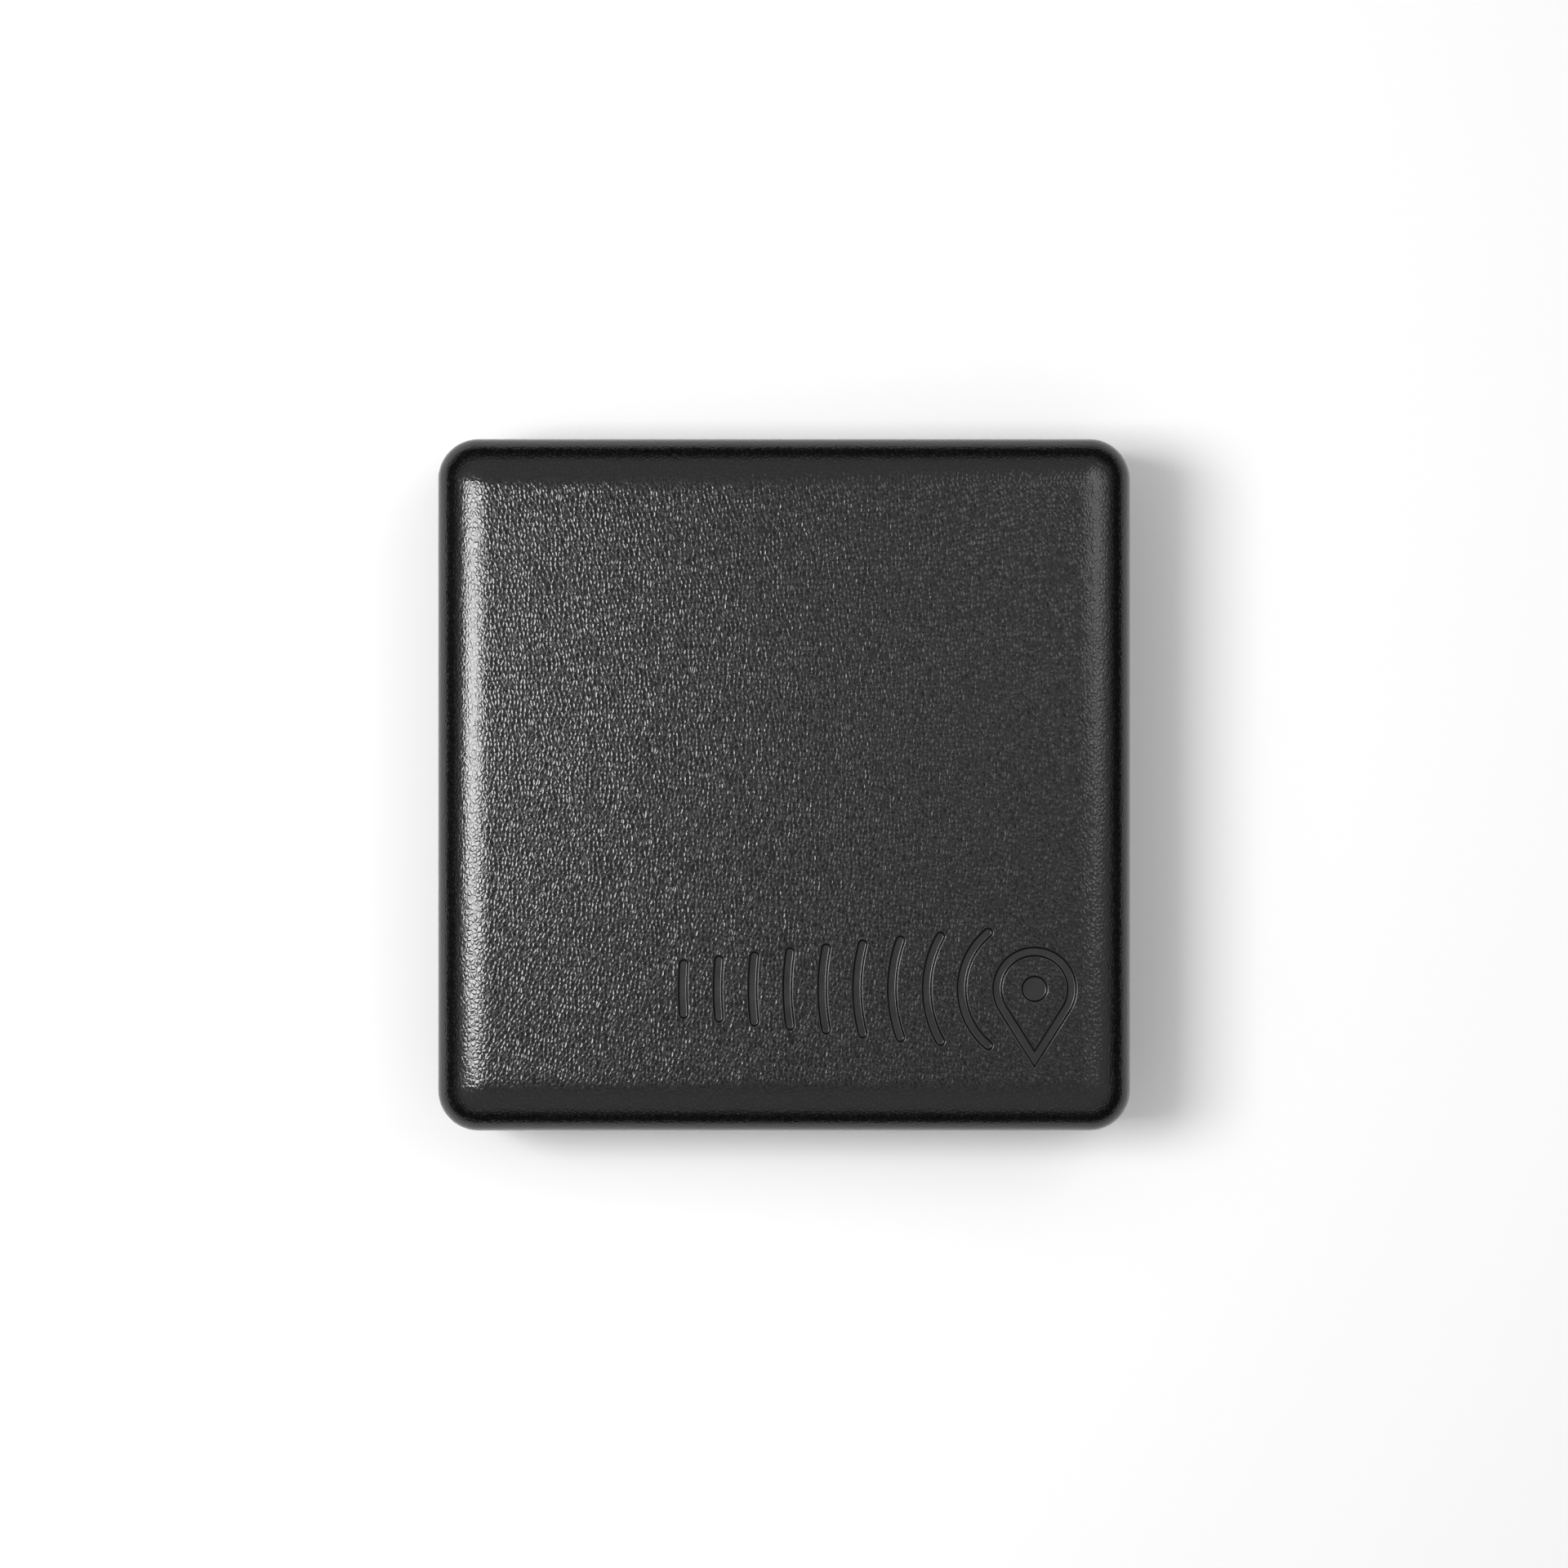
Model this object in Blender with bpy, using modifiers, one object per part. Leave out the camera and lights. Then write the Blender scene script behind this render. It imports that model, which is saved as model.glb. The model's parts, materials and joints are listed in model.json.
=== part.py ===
"""Square Bluetooth tracker tag, modelled as the assembly it comes apart into on a bench.

Frame: the origin is the centre of the rear face, on the surface the tag lies on. +Z points out of the
front face, which carries the sunk mark. +X is the side with the button and the light pipe.
All lengths are in metres. Run it with: blender --background --python part.py
"""

import math

import bmesh
import bpy
from mathutils import Matrix, Vector

MM = 0.001

# ---- Case ----
CASE_WIDTH = 42.0 * MM
CASE_THICKNESS = 10.0 * MM
EDGE_RADIUS = 2.45 * MM
SIDE_WALL = 1.2 * MM
FRONT_WALL = 1.2 * MM
REAR_WALL = 1.2 * MM
PARTING_HEIGHT = 3.0 * MM
SEAM_GAP = 0.3 * MM
EDGE_SEGMENTS = 8
CAVITY_RADIUS = 0.5 * MM
CAVITY_SEGMENTS = 3
PAST = 1.0 * MM  # how far a cutter reaches beyond the surface that it opens
ROOTED = 0.5 * MM  # how deep a boss, a lip or a rib starts inside the wall that it grows from

# ---- Clearances ----
SEAT_GAP = 0.04 * MM  # between pieces that are soldered, glued or pressed together
LIP_GAP = 0.1 * MM  # between the rear cover's lip and the front cover's wall
RUNNING_GAP = 0.15 * MM  # round a piece that moves in an opening
BOARD_GAP = 0.3 * MM  # round the edge of the circuit board

# ---- Lip and perimeter seal ----
LIP_WIDTH = 1.2 * MM
LIP_BELOW_BUTTON = 0.2 * MM
SEAL_CORD = 0.6 * MM
SEAL_HEIGHT = 3.65 * MM
GROOVE_HEIGHT = 0.7 * MM

# ---- Case screws ----
SCREW_INSET = 4.5 * MM  # from the case's sides to the screw's axis
SCREW_HEAD_RADIUS = 1.3 * MM
SCREW_HEAD_HEIGHT = 0.9 * MM
SCREW_HEAD_SINK = 0.25 * MM
SCREW_SHANK_RADIUS = 0.75 * MM
SCREW_LENGTH = 5.4 * MM
SCREW_TIP = 0.6 * MM
SCREW_TIP_RADIUS = 0.3 * MM
SCREW_HEAD_DOME = (0.26 * MM, 0.3 * MM)  # how far the head's outer edge is taken in, and its height
SCREW_DRIVE = (1.7 * MM, 0.32 * MM, 0.5 * MM)  # the cross recess: length and width of an arm, depth
BOSS_WALL = 0.9 * MM

# ---- Coin cell ----
CELL_DIAMETER = 20.0 * MM
CELL_HEIGHT = 3.2 * MM
CELL_CAN_WALL = 0.25 * MM
CELL_EDGE = 0.25 * MM
CELL_CAP_PROUD = 0.12 * MM
CELL_CRIMP = 0.8 * MM
CELL_GASKET = 0.4 * MM
CELL_PLAY = 0.2 * MM

# ---- Battery door and its three-start thread ----
DOOR_RECESS = 0.1 * MM
DOOR_PLATE = 1.0 * MM
DOOR_SKIRT_WALL = 1.4 * MM
DOOR_SKIRT_GAP = 0.5 * MM  # round the coin cell
DOOR_FLANGE = 1.4 * MM  # how far the plate reaches past the skirt
DOOR_FLANGE_GAP = 0.2 * MM
DOOR_RING_CORD = 0.76 * MM
DOOR_CHAMFER = 0.2 * MM
COIN_SLOT = (12.0 * MM, 1.7 * MM, 0.55 * MM)  # length, width, depth
THREAD_LEAD = 12.0 * MM
THREAD_STARTS = 3
THREAD_ARC = 22.0
THREAD_HEIGHT = 0.5 * MM
THREAD_DEPTH = 0.75 * MM
THREAD_GAP = 0.08 * MM
COLLAR_WALL = 1.6 * MM
TURNED_STEPS = 60

# ---- Circuit board and what stands on it ----
BOARD_THICKNESS = 0.8 * MM
BOARD_ABOVE_CELL = 0.9 * MM
BOARD_NOTCH = 2.1 * MM
BOARD_NOTCH_RADIUS = 0.8 * MM
BOARD_CORNER = 0.4 * MM
POST_INSET = 4.6 * MM
POST_RADIUS = 1.1 * MM
PIN_RADIUS = 0.5 * MM
PIN_PROUD = 0.25 * MM
CONTACT_METAL = 0.2 * MM
NEGATIVE_CONTACT_WIDTH = 3.0 * MM
NEGATIVE_CONTACT_LINE = (-6.5 * MM, -3.5 * MM, -2.6 * MM, -0.6 * MM, 0.6 * MM, 1.4 * MM)  # pad, bends, tip
POSITIVE_CONTACT_WIDTH = 1.5 * MM
POSITIVE_CONTACT_REACH = (4.0 * MM, 1.1 * MM, 0.7 * MM)  # from the can: end of the pad, and two bends
CONTACT_LEAD_IN = 0.2 * MM

# Name, centre x and y, length, width and height in millimetres, finish, edge chamfer
BOARD_PARTS = (
    ("radio_chip", -5.0, 3.0, 6.0, 6.0, 0.85, "black", 0),
    ("radio_crystal", -10.0, 3.4, 2.0, 1.6, 0.5, "metal", 0),
    ("clock_crystal", -5.0, 8.0, 3.2, 1.5, 0.75, "metal", 0),
    ("motion_sensor", 5.2, 8.6, 2.0, 2.0, 0.95, "black", 0),
    ("sounder_driver", 6.4, 1.2, 3.0, 3.0, 0.75, "black", 0),
    ("boost_coil", 6.4, -4.2, 3.0, 3.0, 1.2, "black", 0.25),
    ("bulk_capacitor", -5.0, -8.4, 3.5, 2.8, 1.2, "tan", 0.15),
)
SMALL_CAPACITOR_SIZE = (1.0 * MM, 0.5 * MM, 0.5 * MM)
SMALL_CAPACITORS = ((-10.0, 0.4), (-10.0, 6.4), (-1.0, 8.0), (1.6, 3.4), (1.6, 0.6), (10.2, 1.2))
ANTENNA_SIZE = (5.2 * MM, 2.0 * MM, 0.9 * MM)
ANTENNA_OFFSET = 6.0 * MM
ANTENNA_INSET = 0.6 * MM

# ---- Sounder ----
PIEZO_RADIUS = 10.0 * MM
PIEZO_PLATE = 0.2 * MM
CERAMIC_RADIUS = 7.0 * MM
CERAMIC_THICKNESS = 0.2 * MM
ADHESIVE_WIDTH = 1.4 * MM
ADHESIVE_THICKNESS = 0.15 * MM
SPRING_RADIUS = 0.65 * MM
SPRING_WIRE = 0.22 * MM
SPRING_TURNS = 3

# ---- Button, switch and light pipe ----
BUTTON_WIDTH = 7.0 * MM
BUTTON_HEIGHT = 2.2 * MM
BUTTON_RECESS = 0.1 * MM
BUTTON_OFFSET = 4.0 * MM
BUTTON_FLANGE = 0.4 * MM
BUTTON_FLANGE_THICKNESS = 0.7 * MM
BUTTON_FLANGE_REST = 0.2 * MM
BUTTON_NUB = 0.3 * MM
BUTTON_TRAVEL = 0.3 * MM
SWITCH_SIZE = (2.6 * MM, 4.2 * MM, 1.5 * MM)
PLUNGER_WIDTH = 1.4 * MM
PLUNGER_HEIGHT = 0.7 * MM
PLUNGER_INSIDE = 0.8 * MM
PIPE_RADIUS = 0.75 * MM
PIPE_COLLAR = 0.4 * MM
PIPE_OFFSET = -6.0 * MM
LED_SIZE = (1.0 * MM, 1.6 * MM, 0.6 * MM)

# ---- Sunk mark on the front face: a map pin with signal waves ----
MARK_DEPTH = 0.25 * MM
MARK_STROKE = 0.5 * MM
MARK_RIGHT_INSET = 3.4 * MM
MARK_BOTTOM_INSET = 4.0 * MM
PIN_HEAD = 2.5 * MM
PIN_HEIGHT = 7.2 * MM
PIN_DOT = 0.75 * MM
WAVE_COUNT = 9
WAVE_FIRST = 4.4 * MM
WAVE_PITCH = 2.1 * MM
WAVE_HALF_HEIGHTS = (3.4 * MM, 1.5 * MM)  # nearest the pin, furthest from it

SHARP_ANGLE = math.radians(35)

# ---- Worked out from the values above ----
HALF = CASE_WIDTH / 2
WALL_INSIDE = HALF - SIDE_WALL
LIP_OUTSIDE = WALL_INSIDE - LIP_GAP
LIP_INSIDE = LIP_OUTSIDE - LIP_WIDTH
FRONT_INSIDE = CASE_THICKNESS - FRONT_WALL
SCREW_AT = HALF - SCREW_INSET
BOSS_RADIUS = SCREW_SHANK_RADIUS + SEAT_GAP + BOSS_WALL
DOOR_INSIDE = DOOR_RECESS + DOOR_PLATE
CELL_BOTTOM = DOOR_INSIDE + CELL_PLAY
CELL_RADIUS = CELL_DIAMETER / 2
SKIRT_INNER = CELL_RADIUS + DOOR_SKIRT_GAP
SKIRT_OUTER = SKIRT_INNER + DOOR_SKIRT_WALL
BORE_RADIUS = SKIRT_OUTER + SEAT_GAP + DOOR_RING_CORD + SEAT_GAP
DOOR_RADIUS = SKIRT_OUTER + DOOR_FLANGE
RECESS_RADIUS = DOOR_RADIUS + DOOR_FLANGE_GAP
COLLAR_RADIUS = BORE_RADIUS + COLLAR_WALL
THREAD_RISE = THREAD_LEAD * THREAD_ARC / 360
RING_LEVEL = DOOR_INSIDE + SEAT_GAP + DOOR_RING_CORD / 2
RIB_LEVEL = RING_LEVEL + DOOR_RING_CORD / 2 + RUNNING_GAP
LUG_LEVEL = RIB_LEVEL + THREAD_HEIGHT + THREAD_GAP
SKIRT_TOP = LUG_LEVEL + THREAD_HEIGHT + THREAD_RISE
COLLAR_TOP = SKIRT_TOP + RUNNING_GAP
BOARD_HEIGHT = CELL_BOTTOM + CELL_HEIGHT + BOARD_ABOVE_CELL
BOARD_TOP = BOARD_HEIGHT + BOARD_THICKNESS
BUTTON_LEVEL = BOARD_TOP
LIP_TOP = BUTTON_LEVEL - BUTTON_HEIGHT / 2 - BUTTON_FLANGE - LIP_BELOW_BUTTON
BOARD_HALF = LIP_INSIDE - BOARD_GAP
POST_AT = HALF - POST_INSET
PLATE_LEVEL = FRONT_INSIDE - ADHESIVE_THICKNESS - PIEZO_PLATE - 2 * SEAT_GAP
CERAMIC_LEVEL = PLATE_LEVEL - SEAT_GAP - CERAMIC_THICKNESS
FLANGE_FACE = WALL_INSIDE - BUTTON_FLANGE_REST
NUB_TIP = FLANGE_FACE - BUTTON_FLANGE_THICKNESS - BUTTON_NUB
SWITCH_LEVEL = BOARD_TOP + SEAT_GAP
PLUNGER_LEVEL = SWITCH_LEVEL + SWITCH_SIZE[2] / 2
PIPE_LEVEL = BOARD_TOP + SEAT_GAP + LED_SIZE[2] / 2

BLACK_PLASTIC = ("black_plastic", (0.012, 0.012, 0.013), 0.42, 0.0)
DOOR_PLASTIC = ("door_plastic", (0.016, 0.016, 0.017), 0.5, 0.0)
RUBBER = ("black_rubber", (0.02, 0.02, 0.021), 0.75, 0.0)
SEAL = ("seal_silicone", (0.45, 0.06, 0.03), 0.6, 0.0)
STEEL = ("steel", (0.62, 0.61, 0.59), 0.3, 1.0)
SCREW_STEEL = ("black_screw_steel", (0.05, 0.05, 0.055), 0.35, 1.0)
GOLD_METAL = ("gold_plated_contact", (0.8, 0.6, 0.28), 0.28, 1.0)
BRASS = ("brass", (0.72, 0.53, 0.25), 0.3, 1.0)
CERAMIC = ("piezo_ceramic", (0.78, 0.76, 0.7), 0.45, 0.0)
BOARD = ("board_laminate", (0.01, 0.06, 0.035), 0.4, 0.0)
CHIP = ("chip_epoxy", (0.02, 0.02, 0.022), 0.5, 0.0)
TAN = ("capacitor_ceramic", (0.42, 0.3, 0.18), 0.5, 0.0)
WHITE = ("white_plastic", (0.75, 0.75, 0.73), 0.45, 0.0)
NYLON = ("cell_gasket_nylon", (0.3, 0.3, 0.3), 0.5, 0.0)
CLEAR = ("clear_plastic", (0.9, 0.92, 0.93), 0.1, 0.0)
FOAM = ("adhesive_foam", (0.08, 0.08, 0.08), 0.9, 0.0)


# ---- Scene and helpers ----


def clear_scene():
    for obj in list(bpy.data.objects):
        bpy.data.objects.remove(obj)


def collection(name):
    made = bpy.data.collections.new(name)
    bpy.context.scene.collection.children.link(made)
    return made


def material(finish):
    name, colour, roughness, metallic = finish
    found = bpy.data.materials.get(name)
    if found:
        return found
    made = bpy.data.materials.new(name)
    made.use_nodes = True
    shader = made.node_tree.nodes["Principled BSDF"]
    shader.inputs["Base Color"].default_value = (*colour, 1)
    shader.inputs["Roughness"].default_value = roughness
    shader.inputs["Metallic"].default_value = metallic
    made.diffuse_color = (*colour, 1)
    return made


def place(obj, finish):
    """Moves a new object to the parts collection, or to the tools collection where it has no finish."""
    for owner in list(obj.users_collection):
        owner.objects.unlink(obj)
    if finish:
        PARTS.objects.link(obj)
        obj.data.materials.append(material(finish))
        return obj
    TOOLS.objects.link(obj)
    obj.hide_render = True
    obj.display_type = "WIRE"
    return obj


def object_from(name, bm, finish):
    bmesh.ops.recalc_face_normals(bm, faces=bm.faces)
    mesh = bpy.data.meshes.new(name)
    bm.to_mesh(mesh)
    bm.free()
    mesh.shade_smooth()
    mesh.set_sharp_from_angle(angle=SHARP_ANGLE)
    obj = bpy.data.objects.new(name, mesh)
    bpy.context.scene.collection.objects.link(obj)
    return place(obj, finish)


def block(name, low, high, finish=None, radius=0.0, segments=CAVITY_SEGMENTS, along=None):
    """A box between two corners. radius rounds every edge, or only the edges that run along one axis."""
    low, high = Vector(low), Vector(high)
    bm = bmesh.new()
    bmesh.ops.create_cube(bm, size=1)
    bmesh.ops.scale(bm, vec=high - low, verts=bm.verts)
    bmesh.ops.translate(bm, vec=(low + high) / 2, verts=bm.verts)
    if radius:
        edges = bm.edges[:]
        if along is not None:
            edges = [e for e in edges if abs((e.verts[0].co - e.verts[1].co)[along]) > 1e-9]
        bmesh.ops.bevel(
            bm, geom=edges, offset=radius, segments=segments, profile=0.5, affect="EDGES"
        )
    return object_from(name, bm, finish)


def disc(name, centre, radius, height, finish=None, axis="Z", steps=32):
    """A cylinder that starts at centre and runs along +axis."""
    bm = bmesh.new()
    bmesh.ops.create_cone(
        bm, cap_ends=True, segments=steps, radius1=radius, radius2=radius, depth=height
    )
    bmesh.ops.translate(bm, vec=(0, 0, height / 2), verts=bm.verts)
    if axis == "X":
        bmesh.ops.rotate(bm, cent=(0, 0, 0), matrix=Matrix.Rotation(math.pi / 2, 3, "Y"), verts=bm.verts)
    bmesh.ops.translate(bm, vec=centre, verts=bm.verts)
    return object_from(name, bm, finish)


def turned(name, profile, finish, centre=(0, 0, 0), steps=TURNED_STEPS):
    """A profile of (radius, height) points turned about Z, from the top down its outer side and back."""
    bm = bmesh.new()
    points = [bm.verts.new((r, 0, z)) for r, z in profile]
    ends = list(zip(points, points[1:]))
    if profile[0][0] > 0:
        ends.append((points[-1], points[0]))
    for a, b in ends:
        bm.edges.new((a, b))
    mesh = bpy.data.meshes.new(name)
    bm.to_mesh(mesh)
    bm.free()
    obj = bpy.data.objects.new(name, mesh)
    obj.location = centre
    bpy.context.scene.collection.objects.link(obj)
    screw = obj.modifiers.new("turn", "SCREW")
    screw.steps = screw.render_steps = steps
    screw.use_merge_vertices = True
    screw.merge_threshold = 0.00001
    screw.use_normal_calculate = False
    return place(obj, finish)


def combine(obj, tool, operation):
    modifier = obj.modifiers.new(f"{operation.lower()}_{tool.name}", "BOOLEAN")
    modifier.operation = operation
    modifier.object = tool
    modifier.solver = "EXACT"
    return obj


def cut(obj, *tools):
    for tool in tools:
        combine(obj, tool, "DIFFERENCE")


def join(obj, *tools):
    for tool in tools:
        combine(obj, tool, "UNION")


def flat_outlines(name, outlines, low, high):
    """Closed 2D outlines, with the ones inside others as holes, raised from low to high as one tool."""
    data = bpy.data.curves.new(name, "CURVE")
    data.dimensions = "2D"
    data.fill_mode = "BOTH"
    data.extrude = (high - low) / 2
    for outline in outlines:
        spline = data.splines.new("POLY")
        spline.points.add(len(outline) - 1)
        for point, (x, y) in zip(spline.points, outline):
            point.co = (x, y, 0, 1)
        spline.use_cyclic_u = True
    curve = bpy.data.objects.new(name + "_curve", data)
    curve.location = (0, 0, (low + high) / 2)
    bpy.context.scene.collection.objects.link(curve)
    return solid_from_curve(name, curve)


def set_origin(obj, point):
    """Moves an object's origin to a point and leaves its mesh where it is."""
    obj.data.transform(Matrix.Translation(-Vector(point)))
    obj.location = point


def solid_from_curve(name, curve, finish=None):
    """The mesh of a curve object, with its caps welded on, in the curve's place."""
    bpy.context.view_layer.update()
    graph = bpy.context.evaluated_depsgraph_get()
    mesh = bpy.data.meshes.new_from_object(curve.evaluated_get(graph))
    bm = bmesh.new()
    bm.from_mesh(mesh)
    bm.transform(curve.matrix_world)
    bmesh.ops.remove_doubles(bm, verts=bm.verts, dist=1e-7)
    bpy.data.objects.remove(curve)
    bpy.data.meshes.remove(mesh)
    return object_from(name, bm, finish)


def path_curve(name, points, radius, closed=False, resolution=2):
    data = bpy.data.curves.new(name, "CURVE")
    data.dimensions = "3D"
    data.bevel_depth = radius
    data.bevel_resolution = resolution
    data.use_fill_caps = not closed
    spline = data.splines.new("POLY")
    spline.points.add(len(points) - 1)
    for point, place_at in zip(spline.points, points):
        point.co = (*place_at, 1)
    spline.use_cyclic_u = closed
    curve = bpy.data.objects.new(name, data)
    bpy.context.scene.collection.objects.link(curve)
    return curve


def bent_strip(name, profile, width, finish, centre=(0, 0, 0), turn=0.0):
    """A strip of sheet metal: its side view is a line of (x, z) points, and its width runs along Y."""
    data = bpy.data.curves.new(name, "CURVE")
    data.dimensions = "2D"
    data.fill_mode = "NONE"
    data.extrude = width / 2
    spline = data.splines.new("POLY")
    spline.points.add(len(profile) - 1)
    for point, (x, z) in zip(spline.points, profile):
        point.co = (x, z, 0, 1)
    strip = bpy.data.objects.new(name, data)
    strip.matrix_world = (
        Matrix.Translation(centre) @ Matrix.Rotation(turn, 4, "Z") @ Matrix.Rotation(math.pi / 2, 4, "X")
    )
    bpy.context.scene.collection.objects.link(strip)
    obj = solid_from_curve(name, strip, finish)
    sheet = obj.modifiers.new("sheet", "SOLIDIFY")
    sheet.thickness = CONTACT_METAL
    sheet.offset = 0
    sheet.use_even_offset = True
    return obj


def arc(centre, radius, start, end, steps):
    """Points from start to end, in degrees anticlockwise, both ends included."""
    angles = [math.radians(start + (end - start) * i / steps) for i in range(steps + 1)]
    return [(centre[0] + radius * math.cos(a), centre[1] + radius * math.sin(a)) for a in angles]


def rounded_square(half, radius, steps=6):
    """Outline of a square with round corners, anticlockwise."""
    inner = half - radius
    corners = [(inner, inner), (-inner, inner), (-inner, -inner), (inner, -inner)]
    return [p for i, c in enumerate(corners) for p in arc(c, radius, 90 * i, 90 * i + 90, steps)]


def four_corners(at):
    return [(x, y) for x in (-at, at) for y in (-at, at)]


def thread_piece(name, inner, outer, level, start):
    """One start of the door's thread: a rectangle swept up a helix about Z from the angle start."""
    steps = 7
    bm = bmesh.new()
    corners = [(inner, level), (outer, level), (outer, level + THREAD_HEIGHT), (inner, level + THREAD_HEIGHT)]
    face = bm.faces.new([bm.verts.new((r, 0, z)) for r, z in corners])
    bmesh.ops.spin(
        bm,
        geom=[face, *face.edges, *face.verts],
        cent=(0, 0, 0),
        axis=(0, 0, 1),
        dvec=(0, 0, THREAD_RISE / steps),
        angle=math.radians(THREAD_ARC),
        steps=steps,
        use_duplicate=False,
    )
    bmesh.ops.rotate(bm, cent=(0, 0, 0), matrix=Matrix.Rotation(math.radians(start), 3, "Z"), verts=bm.verts)
    return object_from(name, bm, None)


def thread_starts():
    return [i * 360 / THREAD_STARTS for i in range(THREAD_STARTS)]


# ---- Case ----


def outer_form(name, finish):
    return block(
        name,
        (-HALF, -HALF, 0),
        (HALF, HALF, CASE_THICKNESS),
        finish,
        radius=EDGE_RADIUS,
        segments=EDGE_SEGMENTS,
    )


def button_outline(grow, inner, outer):
    """The button's round-ended form along X, grown by a margin, between two distances from the centre."""
    half_width, half_height = BUTTON_WIDTH / 2 + grow, BUTTON_HEIGHT / 2 + grow
    low = (inner, BUTTON_OFFSET - half_width, BUTTON_LEVEL - half_height)
    high = (outer, BUTTON_OFFSET + half_width, BUTTON_LEVEL + half_height)
    return low, high, 0.98 * half_height


def mark_pin_outline(grow):
    """A drop shape: a round head whose two sides run straight to the point below it."""
    head = (HALF - MARK_RIGHT_INSET - PIN_HEAD, -HALF + MARK_BOTTOM_INSET + PIN_HEIGHT - PIN_HEAD)
    radius = PIN_HEAD + grow
    reach = (PIN_HEIGHT - PIN_HEAD) * radius / PIN_HEAD
    tangent = math.degrees(math.asin(radius / reach))
    return [*arc(head, radius, -tangent, 180 + tangent, 20), (head[0], head[1] - reach)], head


def mark_wave_outline(head, index):
    """A round-ended arc about the pin's head, open towards it."""
    share = index / (WAVE_COUNT - 1)
    near, far = WAVE_HALF_HEIGHTS
    radius = WAVE_FIRST + index * WAVE_PITCH
    half_angle = math.degrees(math.asin((near + (far - near) * share) / radius))
    start, end = 180 - half_angle, 180 + half_angle
    outside = arc(head, radius + MARK_STROKE / 2, start, end, 8)
    inside = arc(head, radius - MARK_STROKE / 2, end, start, 8)
    low_end = arc(head, radius, end, end, 1)[0]
    high_end = arc(head, radius, start, start, 1)[0]
    cap = MARK_STROKE / 2
    return [
        *outside,
        *arc(low_end, cap, end, end + 180, 6)[1:-1],
        *inside,
        *arc(high_end, cap, start + 180, start + 360, 6)[1:-1],
    ]


def mark_tool():
    outer, head = mark_pin_outline(0)
    inner, _ = mark_pin_outline(-MARK_STROKE)
    dot = arc(head, PIN_DOT, 0, 345, 23)
    waves = [mark_wave_outline(head, i) for i in range(WAVE_COUNT)]
    return flat_outlines(
        "mark_tool", [outer, inner, dot, *waves], CASE_THICKNESS - MARK_DEPTH, CASE_THICKNESS + PAST
    )


def front_cover():
    cover = outer_form("front_cover", BLACK_PLASTIC)
    cut(
        cover,
        block(
            "front_cavity",
            (-WALL_INSIDE, -WALL_INSIDE, -CASE_THICKNESS),
            (WALL_INSIDE, WALL_INSIDE, FRONT_INSIDE),
            radius=CAVITY_RADIUS,
        ),
        block(
            "below_seam",
            (-CASE_WIDTH,) * 2 + (-PAST,),
            (CASE_WIDTH,) * 2 + (PARTING_HEIGHT + SEAM_GAP / 2,),
        ),
    )
    boss_low = PARTING_HEIGHT + RUNNING_GAP
    for i, (x, y) in enumerate(four_corners(SCREW_AT)):
        boss = disc(f"front_boss_{i}", (x, y, boss_low), BOSS_RADIUS, FRONT_INSIDE + ROOTED - boss_low)
        join(cover, boss)
    pilot_top = SCREW_HEAD_SINK + SCREW_HEAD_HEIGHT + SCREW_LENGTH + BOARD_GAP
    for i, (x, y) in enumerate(four_corners(SCREW_AT)):
        pilot = disc(f"pilot_{i}", (x, y, 0), SCREW_SHANK_RADIUS + SEAT_GAP, pilot_top, steps=16)
        cut(cover, pilot)
    low, high, radius = button_outline(RUNNING_GAP, WALL_INSIDE - PAST, HALF + PAST)
    cut(
        cover,
        block("button_opening", low, high, radius=radius, segments=6, along=0),
        disc(
            "pipe_hole",
            (WALL_INSIDE - PAST, PIPE_OFFSET, PIPE_LEVEL),
            PIPE_RADIUS + SEAT_GAP,
            SIDE_WALL + 2 * PAST,
            axis="X",
            steps=20,
        ),
        mark_tool(),
    )


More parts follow.
